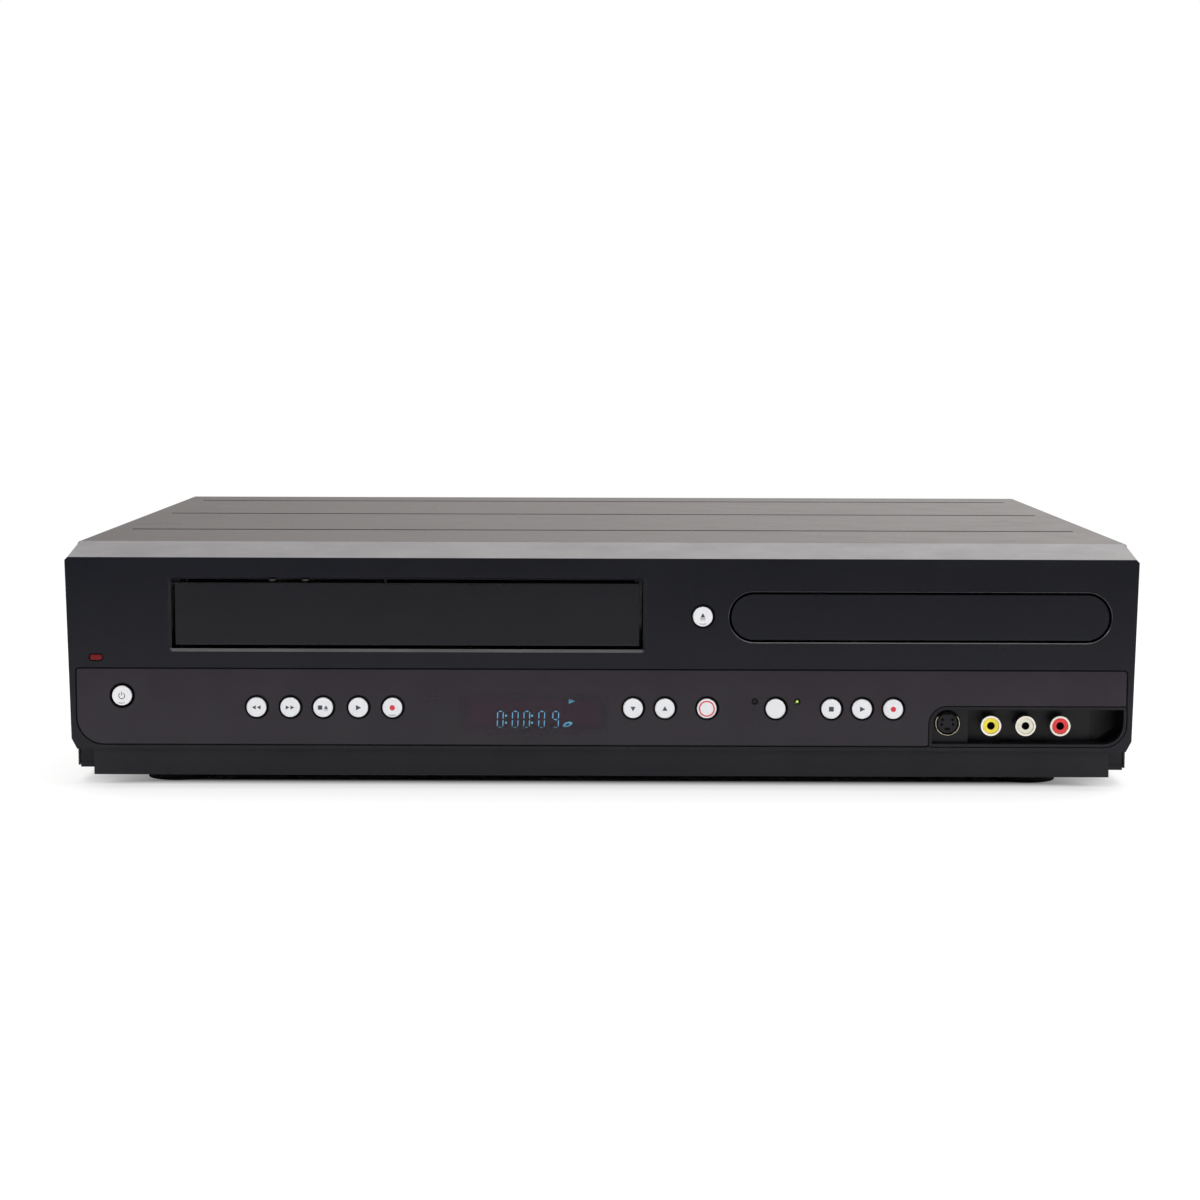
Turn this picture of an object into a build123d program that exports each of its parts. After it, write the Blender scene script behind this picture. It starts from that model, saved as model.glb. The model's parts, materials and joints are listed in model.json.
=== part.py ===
from build123d import *
import os
from math import acos, cos, pi, radians, sin, sqrt, tan

# Combination disc and cassette recorder, in millimetres.
# X runs to the right, Y to the back and Z up. The origin is the middle of the footprint on the floor.

os.makedirs("parts", exist_ok=True)

# ---------------------------------------------------------------- driving dimensions
# Case
case_width = 435.0
case_height = 99.5
measured_width = 435.0     # the case at which the places on the face were measured
measured_height = 99.5
across = case_width / measured_width
upward = case_height / measured_height
case_depth = 320.0         # front face to the rear edge of the cover
jack_reach = 7.0           # how far the rear jacks stand out behind the cover
foot_height = 5.7
foot_radius = 13.0
foot_inset_x = 40.0
foot_inset_y = 34.0
sheet = 0.8                # cover and rear panel
gap = 0.3                  # room between neighbouring mouldings

# Front moulding
panel_wall = 3.0
side_wall = 2.4
face_bottom = 16.5 * upward
bevel_rise = 4.5           # height of the sloping strip above the face
bevel_run = 26.0
side_return = 20.0         # how far the moulding's sides run back
return_step = 3.5          # drop of the joint line where side and top meet
corner_cut = 1.2
side_lean = 1.6
skirt_draft = 3.8
skirt_rise = 4.3
boss_size = 3.6

# Cassette slot and flap
slot_x = -78.9
slot_z = 71.95 * upward
slot_width = 191.4
slot_height = 28.3
slot_chamfer = 1.2
slot_slope = 45.0
slot_corner = 2.2
flap_width = 188.4
flap_height = 25.4
flap_thickness = 2.0
flap_recess = 1.2
flap_pin_radius = 1.25
flap_pin_drop = 5.5        # hinge line behind the face
flap_pin_rise = 1.4        # hinge line above the slot
flap_arm = 2.0
flap_ear = 2.1             # reach of the flap's arm round its pin
pin_play = 0.05

# Disc door, drawer and loader
disc_inset = 88.3          # middle of the drawer from the right side of the case
disc_z = 71.3 * upward
door_width = 153.5
door_height = 18.9
door_thickness = 3.0
door_gap = 1.1
tray_width = 144.0
tray_length = 170.0
tray_thickness = 8.0
tray_front = 4.4           # drawer's front edge behind the face
disc_diameter = 120.0
small_disc_diameter = 80.0
disc_room = 1.0
disc_pocket = 2.6
small_pocket = 1.6
disc_centre = 80.0         # disc centre behind the face with the drawer in
window_width = 40.0
window_rim = 14.4          # from the window's end to the drawer's back edge

# Control strip
strip_inset = 4.0
strip_top = 49.6 * upward
strip_bottom = 18.6 * upward
strip_thickness = 1.6
strip_groove = 0.45
strip_corner = 11.0
recess_left = 133.25 * across
recess_inset = 3.6
recess_bottom = 18.2 * upward
recess_top = 35.1 * upward
recess_corner_top = 7.5
recess_corner_bottom = 9.5
recess_depth = 9.0
recess_wall = 1.2
pad_right = 150.4 * across # right edge of the shallow pad round the S-video jack
pad_depth = 4.0

# Push buttons
cap_radius = 4.05
cap_proud = 0.9
button_play = 0.65
flange_size = 10.8
flange_thickness = 1.0
stem_size = 3.6
standby_play = 1.1
standby_x = -195.0 * across
standby_z = 38.5 * upward
row_z = 33.9 * upward
row_xs = {
    "button_rewind": -140.3,
    "button_forward": -126.6,
    "button_stop_eject": -113.2,
    "button_cassette_play": -98.9,
    "button_cassette_record": -85.0,
    "button_tracking_down": 12.9,
    "button_tracking_up": 25.85,
    "button_dubbing": 42.9,
    "button_source": 70.9,
    "button_disc_stop": 93.5,
    "button_disc_play": 106.0,
    "button_disc_record": 118.7,
}
eject_share = 0.766        # where the eject button stands in its way from slot to door
eject_rise = 0.2
# windows of the front moulding behind the strip: (first button, last button)
window_pairs = (
    ("button_rewind", "button_cassette_record"),
    ("button_tracking_down", "button_dubbing"),
    ("button_source", "button_source"),
    ("button_disc_stop", "button_disc_record"),
)

# Lamps and display
lens_inset = 12.1
lens_z = 54.1 * upward
lens_length = 5.6
lens_width = 2.7
lens_depth = 5.0
lamp_radius = 1.0
lamp_z = 36.8 * upward
lamp_spread = 8.65 * across   # from the middle between the two lamps
lamp_middle = 71.05 * across
display_x = -29.0 * across
display_z = 31.5 * upward
display_width = 62.0 * across
display_height = 21.0
display_thickness = 6.0
tip_taper = 15.0
window_margin = 3.0

# Front jacks
jack_z = 26.9 * upward
phono_start = 158.8 * across
phono_pitch = 14.1 * across
phono_outer = 4.15
phono_inner = 3.3
phono_length = 7.8
phono_bore = 1.6
neck_size = 5.4            # square neck behind a jack's shell or a coaxial barrel
s_video_x = 141.35 * across
s_video_z = 27.6 * upward
s_video_radius = 5.2
s_video_bore = 4.4
s_video_proud = 1.0
s_video_key = 2.9

# Boards
board_thickness = 1.6
switch_size = 6.0
switch_body = 3.4
switch_room = 1.0          # free way between a button's stem and its switch
button_back = 8.6          # end of a button's stem behind the face
board_bottom = 19.5 * upward
board_top = 50.5 * upward
riser_half = 7.0
board_screw_xs = (-170.0, -62.0, 57.0)
board_screw_size = 6.0
post_inset = 20.0
chip_size = 24.0
transformer_width = 34.0
transformer_length = 30.0
heat_sink_width = 4.0
heat_sink_length = 60.0
capacitor_radius = 8.0

# Chassis
floor_thickness = 2.0
plinth_inset = 10.25
plinth_recess = 2.0
chassis_wall = 2.0
chassis_rise = 26.0
vent_length = 26.0 * upward
vent_width = 3.0
vent_pitch = 8.0
vent_count = 9
rib_inset = 10.5
rib_places = (91.5, 192.5, 288.0)
rib_width = 4.2
rib_depth = 0.7
rib_slope = 60.0
cover_bottom = 6.5
cover_fold = 1.6

# Cassette deck
cassette_width = 187.0
cassette_thickness = 25.0
holder_front = 37.0
holder_length = 99.0
holder_play = 1.1
holder_room = 1.6
holder_sheet = 1.2
slide_gap = 1.0
slide_sheet = 1.6
deck_sheet = 1.6
deck_z = 34.0
deck_room = 7.5            # from the deck's side walls to the top of the case
deck_front = 35.2
deck_length = 244.0
leg_inset = 10.0
reel_pitch = 92.5
reel_y = 150.0
reel_radius = 16.0
spindle_radius = 4.6
spindle_height = 13.0
shaft_radius = 1.5
shaft_play = 0.05
drum_y = 245.0
drum_radius = 31.0
drum_lower_height = 13.0
drum_upper_height = 15.0
drum_gap = 0.5
drum_tilt = 5.9
capstan_x = -34.0
capstan_y = 214.0
capstan_radius = 1.5
flywheel_radius = 21.0
flywheel_height = 8.0
pinch_x = -4.0
pinch_y = 202.0
pinch_radius = 6.0
pinch_height = 16.0
pinch_arm_length = 28.6
pinch_rest = 196.4         # direction of the arm with the tape unloaded

# Disc loader
loader_half = 81.5
loader_front = 16.0
loader_length = 182.0
loader_drop = 24.3         # floor of the loader below the middle of the door
loader_wall = 2.0
loader_rise = 12.7
tray_clearance = 0.8
traverse_pivot_y = 186.0
traverse_drop = 20.3
traverse_width = 70.0
traverse_length = 124.0
traverse_sheet = 2.0
turntable_radius = 14.0
turntable_height = 9.0
hub_radius = 7.3
hub_height = 2.4
pickup_width = 44.0
pickup_length = 24.0
pickup_height = 5.0
pickup_start = 111.0
pickup_travel = 36.0
lens_radius = 3.0
rod_radius = 1.5
rod_half_gap = 17.0
screw_offset = 28.5
screw_radius = 1.5
screw_lug = 5.0
rod_play = 0.05
puck_radius = 14.5
puck_thickness = 9.2
puck_recess = 3.2
puck_collar = 6.5
bridge_rise = 13.1
bridge_thickness = 1.6
bridge_width = 26.0
gear_module = 1.0
tooth_root = 1.25          # depth of the teeth below the pitch line
gear_teeth = 16
gear_thickness = 4.0
gear_bore = 1.5
gear_y = 22.0
gear_inset = 16.0
tooth_play = 0.25
pressure_angle = 20.0
rack_start = 12.0
rack_height = 4.6

# Screws that hold the cover at the back
cover_screw_inset = 27.5
cover_screw_drop = 5.5
cover_flange = 11.0
screw_head_radius = 3.2
screw_head_height = 1.5

# Rear side
rear_inset = 1.6
rear_phono_xs = (-60.0, -46.0, -32.0)
socket_z = 24.0            # jacks and sockets of the main board
rear_block_depth = 12.0
rear_block_half = 6.2      # half the height of a block of jacks
antenna_x = 0.0
antenna_pitch = 18.0
antenna_radius = 4.7
antenna_bore_radius = 1.3
hdmi_x = 60.0
hdmi_width = 15.0
hdmi_height = 5.6
inlet_x = 190.0 * across
inlet_z = 32.0
inlet_width = 14.0
inlet_height = 8.0
inlet_cavity = 9.6
fan_x = 130.0 * across
fan_z = 58.0 * upward
fan_size = 50.0
fan_depth = 12.0
fan_opening_radius = 23.5
fan_hub_radius = 11.0
fan_arms = 3
fan_arm_turn = 45.0
fan_blades = 7
blade_pitch = 25.0
grille_pitch = 6.0
grille_slots = 7
grille_slot_width = 3.4

# ---------------------------------------------------------------- shared places
front_y = -(case_depth + jack_reach - cap_proud) / 2
half_width = case_width / 2
face_top = case_height - bevel_rise
strip_half = half_width - strip_inset
recess_right = half_width - recess_inset
plinth_half = half_width - plinth_inset
disc_x = half_width - disc_inset
lens_x = lens_inset - half_width
lamp_xs = (lamp_middle - lamp_spread, lamp_middle + lamp_spread)
phono_xs = [phono_start + step * phono_pitch for step in range(3)]
deck_top = case_height - deck_room
loader_floor = disc_z - loader_drop
loader_top = disc_z + loader_rise
traverse_z = disc_z - traverse_drop
bridge_z = disc_z + bridge_rise
slot_top = slot_z + slot_height / 2
slot_bottom = slot_z - slot_height / 2
slot_right = slot_x + slot_width / 2
hinge_z = slot_top + flap_pin_rise
inner_floor = foot_height + floor_thickness
rear_depth = case_depth - rear_inset
board_face = button_back + switch_room + switch_body
cavity_half = half_width - skirt_draft - side_wall
board_left = gap - cavity_half
board_right = recess_left - gap
rear_bed = rear_depth - sheet - gap
eject_first = slot_right + slot_chamfer + cap_radius + button_play
eject_last = disc_x - door_width / 2 - door_gap - cap_radius - button_play
eject_x = eject_first + eject_share * (eject_last - eject_first)
button_places = {"button_standby": (standby_x, standby_z)}
for node, place in row_xs.items():
    button_places[node] = (place * across, row_z)
button_places["button_open_close"] = (eject_x, disc_z + eject_rise)


def back(distance):
    """World Y of a place that lies this far behind the front face."""
    return front_y + distance


def facing(distance):
    """Upright plane this far behind the front face, looking out to the user."""
    return Plane.XZ.offset(-back(distance))


def face_outline():
    """Front view of the case, leaning in towards the plinth."""
    with BuildSketch() as outline:
        with BuildLine():
            Polyline(
                (0, face_bottom),
                (half_width - skirt_draft, face_bottom),
                (half_width - side_lean, face_bottom + skirt_rise),
                (half_width, face_top - corner_cut),
                (half_width - corner_cut, face_top),
                (half_width - corner_cut, case_height),
                (0, case_height),
                close=True,
            )
        make_face()
        mirror(about=Plane.YZ)
    return outline.sketch


def recess_outline():
    """Front view of the jack recess, with two large corners."""
    with BuildSketch() as outline:
        with BuildLine():
            FilletPolyline(
                (recess_left, recess_bottom),
                (recess_left, recess_top),
                (recess_right, recess_top),
                (recess_right, recess_bottom),
                radius=[corner_cut, recess_corner_top, corner_cut, recess_corner_bottom],
                close=True,
            )
        make_face()
    return outline.sketch


def strip_outline():
    """Front view of the control strip, which steps up over the jack recess."""
    with BuildSketch() as outline:
        with BuildLine():
            FilletPolyline(
                (-strip_half, strip_bottom),
                (-strip_half, strip_top),
                (strip_half, strip_top),
                (strip_half, recess_top),
                (recess_left, recess_top),
                (recess_left, strip_bottom),
                radius=[strip_corner, corner_cut, corner_cut, gap, recess_corner_top, corner_cut],
                close=True,
            )
        make_face()
    return outline.sketch


def hole_radius(node):
    """Button holes have the same play, and a little more round the standby button."""
    play = standby_play if node == "button_standby" else button_play
    return cap_radius + play


strip_buttons = [node for node in button_places if node != "button_open_close"]
board_posts = [(x * across, board_top - board_screw_size / 2) for x in board_screw_xs]

# ---------------------------------------------------------------- front moulding
with BuildPart() as front_panel:
    with BuildSketch(Plane.YZ):
        with BuildLine():
            Polyline(
                (back(0), face_bottom),
                (back(0), face_top),
                (back(bevel_run), case_height),
                (back(bevel_run), case_height - return_step),
                (back(side_return), face_top - return_step),
                (back(side_return), face_bottom),
                close=True,
            )
        make_face()
    extrude(amount=half_width, both=True)
    with BuildSketch(facing(0)):
        add(face_outline())
    extrude(amount=-bevel_run, mode=Mode.INTERSECT)
    # hollow behind the face
    with BuildSketch(Plane.YZ):
        with BuildLine():
            Polyline(
                (back(panel_wall), face_bottom + side_wall),
                (back(panel_wall), face_top - side_wall),
                (back(bevel_run), case_height - side_wall),
                (back(bevel_run), face_bottom + side_wall),
                close=True,
            )
        make_face()
    extrude(amount=cavity_half, both=True, mode=Mode.SUBTRACT)
    # cassette slot with its bevelled rim
    with BuildSketch(facing(0)):
        with Locations((slot_x, slot_z)):
            Rectangle(slot_width, slot_height)
    extrude(amount=-panel_wall, mode=Mode.SUBTRACT)
    with BuildSketch(facing(0)):
        with Locations((slot_x, slot_z)):
            RectangleRounded(slot_width + 2 * slot_chamfer, slot_height + 2 * slot_chamfer, slot_corner)
    extrude(amount=-slot_chamfer, taper=slot_slope, mode=Mode.SUBTRACT)
    # opening for the disc drawer's door
    with BuildSketch(facing(0)):
        with Locations((disc_x, disc_z)):
            SlotOverall(door_width + 2 * door_gap, door_height + 2 * door_gap)
    extrude(amount=-panel_wall, mode=Mode.SUBTRACT)
    # shallow bed of the control strip
    with BuildSketch(facing(0)):
        add(strip_outline())
        offset(amount=strip_groove, kind=Kind.INTERSECTION, mode=Mode.REPLACE)
    extrude(amount=-strip_thickness, mode=Mode.SUBTRACT)
    # room for the jack recess
    with BuildSketch(facing(0)):
        add(recess_outline())
        offset(amount=gap / 2, kind=Kind.INTERSECTION, mode=Mode.REPLACE)
    extrude(amount=-side_return, mode=Mode.SUBTRACT)
    # windows behind the strip, one for each group of buttons, and the display window
    with BuildSketch(facing(0)):
        for first, last in window_pairs:
            left = button_places[first][0] - flange_size / 2
            right = button_places[last][0] + flange_size / 2
            with Locations(((left + right) / 2, row_z)):
                Rectangle(right - left, flange_size)
        with Locations((standby_x, standby_z)):
            Rectangle(flange_size, flange_size)
        with Locations(*[(x, lamp_z) for x in lamp_xs]):
            Rectangle(2 * (lamp_radius + gap), 2 * (lamp_radius + gap))
        with Locations((display_x, display_z)):
            Rectangle(display_width - window_margin, display_height - window_margin)
        with Locations((lens_x, lens_z)):
            SlotOverall(lens_length, lens_width)
        with Locations(button_places["button_open_close"]):
            Circle(cap_radius + button_play)
    extrude(amount=-panel_wall, mode=Mode.SUBTRACT)
    # bearings of the flap's pins, outside both ends of the slot
    for side in (-1, 1):
        inner_face = slot_x + side * (flap_width / 2 + gap)
        with BuildSketch(Plane.YZ.offset(inner_face)):
            with Locations((back(flap_pin_drop), hinge_z)):
                Circle(flap_pin_radius * 2)
            with Locations((back(flap_pin_drop / 2 + panel_wall / 2), hinge_z)):
                Rectangle(flap_pin_drop - panel_wall, flap_pin_radius * 4)
            with Locations((back(flap_pin_drop), hinge_z)):
                Circle(flap_pin_radius + pin_play, mode=Mode.SUBTRACT)
        extrude(amount=side * 2 * flap_arm)
    # posts for the switch board
    with BuildSketch(facing(panel_wall)):
        with Locations(*board_posts):
            Rectangle(board_screw_size, board_screw_size)
    extrude(amount=-(board_face - panel_wall))
front_panel.part.label = "front_panel"
export_step(front_panel.part, "parts/front_panel.step")

# ---------------------------------------------------------------- control strip
with BuildPart() as control_panel:
    with BuildSketch(facing(0)):
        add(strip_outline())
        for node in strip_buttons:
            with Locations(button_places[node]):
                Circle(hole_radius(node), mode=Mode.SUBTRACT)
        with Locations(*[(x, lamp_z) for x in lamp_xs]):
            Circle(lamp_radius, mode=Mode.SUBTRACT)
    extrude(amount=-strip_thickness)
control_panel.part.label = "control_panel"
export_step(control_panel.part, "parts/control_panel.step")

# ---------------------------------------------------------------- push buttons
for node, place in button_places.items():
    with BuildPart() as button:
        with BuildSketch(facing(-cap_proud)):
            with Locations(place):
                Circle(cap_radius)
        extrude(amount=-(cap_proud + panel_wall + gap))
        with BuildSketch(facing(panel_wall + gap)):
            with Locations(place):
                Rectangle(flange_size, flange_size)
        extrude(amount=-flange_thickness)
        with BuildSketch(facing(panel_wall + gap)):
            with Locations(place):
                Rectangle(stem_size, stem_size)
        extrude(amount=-(button_back - panel_wall - gap))
    button.part.label = node
    export_step(button.part, f"parts/{node}.step")

# ---------------------------------------------------------------- lamps, lens and display
with BuildPart() as power_lens:
    with BuildSketch(facing(gap)):
        with Locations((lens_x, lens_z)):
            SlotOverall(lens_length - gap / 2, lens_width - gap / 2)
    extrude(amount=-lens_depth)
power_lens.part.label = "power_lens"
export_step(power_lens.part, "parts/power_lens.step")

with BuildPart() as source_lamps:
    with BuildSketch(facing(gap)):
        with Locations(*[(x, lamp_z) for x in lamp_xs]):
            Circle(lamp_radius - pin_play)
    extrude(amount=-(board_face - gap))
source_lamps.part.label = "source_lamps"
export_step(source_lamps.part, "parts/source_lamps.step")

with BuildPart() as display_tube:
    with BuildSketch(facing(panel_wall + gap)):
        with Locations((display_x, display_z)):
            Rectangle(display_width, display_height)
    extrude(amount=-display_thickness)
    # sealed tip of the glass at its right end
    with BuildSketch(Plane.YZ.offset(display_x + display_width / 2)):
        with Locations((back(panel_wall + gap + display_thickness / 2), display_z)):
            Rectangle(display_thickness / 2, display_thickness / 2)
    extrude(amount=display_thickness / 2, taper=tip_taper)
display_tube.part.label = "display_tube"
export_step(display_tube.part, "parts/display_tube.step")

# ---------------------------------------------------------------- switch board
with BuildPart() as front_board:
    with BuildSketch(facing(board_face)):
        with Locations(((board_left + board_right) / 2, (board_bottom + board_top) / 2)):
            Rectangle(board_right - board_left, board_top - board_bottom)
        riser_x, riser_z = button_places["button_open_close"]
        with Locations((riser_x, (riser_z + board_top) / 2)):
            Rectangle(2 * riser_half, riser_z - board_top + switch_size + side_wall)
    extrude(amount=-board_thickness)
    with BuildSketch(facing(board_face)):
        with Locations(*button_places.values()):
            Rectangle(switch_size, switch_size)
    extrude(amount=switch_body - flange_thickness / 2)
    with BuildSketch(facing(board_face)):
        with Locations(*button_places.values()):
            Rectangle(stem_size, stem_size)
    extrude(amount=switch_body)
front_board.part.label = "front_board"
export_step(front_board.part, "parts/front_board.step")

# ---------------------------------------------------------------- cassette flap
with BuildPart() as cassette_flap:
    with BuildSketch(facing(flap_recess)):
        with Locations((slot_x, slot_z)):
            Rectangle(flap_width, flap_height)
    extrude(amount=-flap_thickness)
    flap_back = flap_recess + flap_thickness
    flap_top = slot_z + flap_height / 2
    for side in (-1, 1):
        outer_face = slot_x + side * flap_width / 2
        with BuildSketch(Plane.YZ.offset(outer_face)):
            with BuildLine():
                Polyline(
                    (back(flap_back), flap_top - 2 * flap_pin_drop),
                    (back(flap_back), flap_top),
                    (back(panel_wall + gap), flap_top),
                    (back(panel_wall + gap), hinge_z),
                    (back(flap_pin_drop), hinge_z + flap_ear),
                    (back(flap_pin_drop + flap_ear), hinge_z),
                    close=True,
                )
            make_face()
        extrude(amount=-side * flap_arm)
        with BuildSketch(Plane.YZ.offset(outer_face)):
            with Locations((back(flap_pin_drop), hinge_z)):
                Circle(flap_pin_radius)
        extrude(amount=side * (2 * flap_arm))
cassette_flap.part.label = "cassette_flap"
export_step(cassette_flap.part, "parts/cassette_flap.step")

# ---------------------------------------------------------------- front jacks
with BuildPart() as jack_recess:
    with BuildSketch(facing(gap)):
        add(recess_outline())
        offset(amount=-gap / 2, kind=Kind.INTERSECTION, mode=Mode.REPLACE)
    extrude(amount=-(recess_depth + recess_wall - gap))
    with BuildSketch(facing(0)):
        add(recess_outline())
        offset(amount=-gap / 2 - recess_wall, kind=Kind.INTERSECTION, mode=Mode.REPLACE)
    extrude(amount=-recess_depth, mode=Mode.SUBTRACT)
    # shallow pad round the S-video jack
    with BuildSketch(facing(pad_depth)):
        with Locations(((recess_left + pad_right) / 2, (recess_top + recess_bottom) / 2)):
            Rectangle(pad_right - recess_left - recess_wall, recess_top - recess_bottom - 2 * recess_wall)
    extrude(amount=-(recess_depth - pad_depth))
    with BuildSketch(facing(0)):
        with Locations((s_video_x, s_video_z)):
            Circle(s_video_radius + pin_play)
        with Locations(*[(x, jack_z) for x in phono_xs]):
            Rectangle(neck_size + gap, neck_size + gap)
    extrude(amount=-(recess_depth + 2 * recess_wall), mode=Mode.SUBTRACT)
jack_recess.part.label = "jack_recess"
export_step(jack_recess.part, "parts/jack_recess.step")

with BuildPart() as s_video_jack:
    with BuildSketch(facing(pad_depth - s_video_proud)):
        with Locations((s_video_x, s_video_z)):
            Circle(s_video_radius)
    extrude(amount=-(recess_depth + 2 * recess_wall))
    with BuildSketch(facing(pad_depth - s_video_proud)):
        with Locations((s_video_x, s_video_z)):
            Circle(s_video_bore)
            Rectangle(s_video_key, phono_bore, mode=Mode.SUBTRACT)
    extrude(amount=-pad_depth, mode=Mode.SUBTRACT)
s_video_jack.part.label = "s_video_jack"
export_step(s_video_jack.part, "parts/s_video_jack.step")

rear_phonos = [(x, socket_z) for x in rear_phono_xs]
front_phonos = [(x, jack_z) for x in phono_xs]
shell_start = recess_depth - phono_length
rear_end = case_depth + jack_reach
shell_seat = recess_depth - gap
rear_seat = rear_depth + gap
with BuildPart() as phono_shells:
    with BuildSketch(facing(shell_start)):
        with Locations(*front_phonos):
            Circle(phono_outer)
            Circle(phono_inner, mode=Mode.SUBTRACT)
    extrude(amount=-(shell_seat - shell_start))
    with BuildSketch(facing(rear_end)):
        with Locations(*rear_phonos):
            Circle(phono_outer)
            Circle(phono_inner, mode=Mode.SUBTRACT)
    extrude(amount=rear_end - rear_seat)
    # square necks through the wall behind each shell
    with BuildSketch(facing(shell_seat)):
        with Locations(*front_phonos):
            Rectangle(neck_size, neck_size)
    extrude(amount=-(gap + 2 * recess_wall))
    with BuildSketch(facing(rear_seat)):
        with Locations(*rear_phonos):
            Rectangle(neck_size, neck_size)
    extrude(amount=rear_seat - rear_bed)
phono_shells.part.label = "phono_shells"
export_step(phono_shells.part, "parts/phono_shells.step")

insert_colours = ("phono_yellow", "phono_white", "phono_red")
for node, front_place, rear_place in zip(insert_colours, front_phonos, rear_phonos):
    with BuildPart() as insert:
        with BuildSketch(facing(shell_start + gap)):
            with Locations(front_place):
                Circle(phono_inner - pin_play)
                Circle(phono_bore, mode=Mode.SUBTRACT)
        extrude(amount=-(shell_seat - shell_start - gap))
        with BuildSketch(facing(rear_end - gap)):
            with Locations(rear_place):
                Circle(phono_inner - pin_play)
        extrude(amount=rear_end - gap - rear_seat)
    insert.part.label = node
    export_step(insert.part, f"parts/{node}.step")

# ---------------------------------------------------------------- sheet-metal cover
cover_screws_at = [
    (side * (half_width - cover_screw_inset), case_height - sheet - cover_screw_drop) for side in (-1, 0, 1)
]
rib_ends = half_width - rib_inset
with BuildPart() as top_cover:
    with BuildSketch(facing(side_return + gap)):
        with BuildLine():
            cover_line = FilletPolyline(
                (-half_width, cover_bottom),
                (-half_width, case_height),
                (half_width, case_height),
                (half_width, cover_bottom),
                radius=cover_fold,
            )
            offset(cover_line, amount=-sheet, side=Side.RIGHT)
        make_face()
    extrude(amount=-(case_depth - side_return - gap))
    # the front edge steps back at the top, to meet the bevel of the front moulding
    with BuildSketch(Plane.YZ):
        with BuildLine():
            Polyline(
                (back(0), case_height + gap),
                (back(bevel_run + gap), case_height + gap),
                (back(bevel_run + gap), case_height - return_step),
                (back(side_return + gap), face_top - return_step),
                (back(0), face_top - return_step),
                close=True,
            )
        make_face()
    extrude(amount=half_width + gap, both=True, mode=Mode.SUBTRACT)
    # flange folded down at the back
    with BuildSketch(facing(case_depth)):
        with Locations((0, case_height - cover_flange / 2 - sheet)):
            Rectangle(case_width - 2 * cover_fold, cover_flange)
    extrude(amount=sheet)
    # pressed ribs across the top
    for place in rib_places:
        with BuildSketch(Plane.YZ):
            with Locations((back(place), case_height)):
                Trapezoid(rib_width, 2 * rib_depth, rib_slope)
        extrude(amount=rib_ends, both=True, mode=Mode.SUBTRACT)
        with BuildSketch(Plane.YZ):
            with Locations((back(place), case_height - rib_depth - sheet / 2)):
                Rectangle(rib_width + sheet, sheet)
        extrude(amount=rib_ends, both=True)
    # air slots in both sides, towards the back
    vent_middle = (back(case_depth) + back(case_depth / 2)) / 2
    with BuildSketch(Plane.YZ):
        with Locations((vent_middle, case_height / 2)):
            with GridLocations(vent_pitch, 1, vent_count, 1):
                Rectangle(vent_width, vent_length)
    extrude(amount=half_width + gap, both=True, mode=Mode.SUBTRACT)
top_cover.part.label = "top_cover"
export_step(top_cover.part, "parts/top_cover.step")

with BuildPart() as cover_screws:
    with BuildSketch(facing(case_depth)):
        with Locations(*cover_screws_at):
            Circle(screw_head_radius)
    extrude(amount=-screw_head_height)
cover_screws.part.label = "cover_screws"
export_step(cover_screws.part, "parts/cover_screws.step")

# ---------------------------------------------------------------- chassis pan and feet
inner_half = half_width - sheet - gap
foot_places = [
    (side * (half_width - foot_inset_x), place)
    for side in (-1, 1)
    for place in (back(foot_inset_y), back(case_depth - foot_inset_y))
]
chassis_back = rear_bed
plinth_side_middle = back((plinth_recess + side_return) / 2)
side_wall_middle = back((bevel_run + chassis_back) / 2)
corner_middle = back(side_return + gap + chassis_wall / 2)
with BuildPart() as chassis_base:
    with BuildSketch(Plane.XY.offset(foot_height)):
        with BuildLine():
            Polyline(
                (-plinth_half, back(plinth_recess)),
                (plinth_half, back(plinth_recess)),
                (plinth_half, back(side_return)),
                (inner_half, back(side_return)),
                (inner_half, back(chassis_back)),
                (-inner_half, back(chassis_back)),
                (-inner_half, back(side_return)),
                (-plinth_half, back(side_return)),
                close=True,
            )
        make_face()
    extrude(amount=floor_thickness)
    # plinth along the front
    with BuildSketch(Plane.XY.offset(inner_floor)):
        with Locations((0, back(plinth_recess + chassis_wall / 2))):
            Rectangle(2 * plinth_half, chassis_wall)
        for side in (-1, 1):
            with Locations((side * (plinth_half - chassis_wall / 2), plinth_side_middle)):
                Rectangle(chassis_wall, side_return - plinth_recess)
    extrude(amount=face_bottom - inner_floor - gap)
    # upright walls down both sides, and across the corners behind the front moulding's ends
    with BuildSketch(Plane.XY.offset(inner_floor)):
        for side in (-1, 1):
            with Locations((side * (inner_half - chassis_wall / 2), side_wall_middle)):
                Rectangle(chassis_wall, chassis_back - bevel_run)
            with Locations((side * (inner_half + plinth_half) / 2, corner_middle)):
                Rectangle(inner_half - plinth_half, chassis_wall)
    extrude(amount=chassis_rise)
    # air slots in the floor
    with BuildSketch(Plane.XY.offset(foot_height)):
        with Locations((disc_x, back(case_depth / 2)), (slot_x, back(case_depth / 2))):
            with GridLocations(vent_pitch, 1, vent_count, 1):
                Rectangle(vent_width, vent_length)
    extrude(amount=floor_thickness, mode=Mode.SUBTRACT)
chassis_base.part.label = "chassis_base"
export_step(chassis_base.part, "parts/chassis_base.step")

with BuildPart() as feet:
    with BuildSketch(Plane.XY):
        with Locations(*foot_places):
            Circle(foot_radius)
    extrude(amount=foot_height)
feet.part.label = "feet"
export_step(feet.part, "parts/feet.step")

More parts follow.
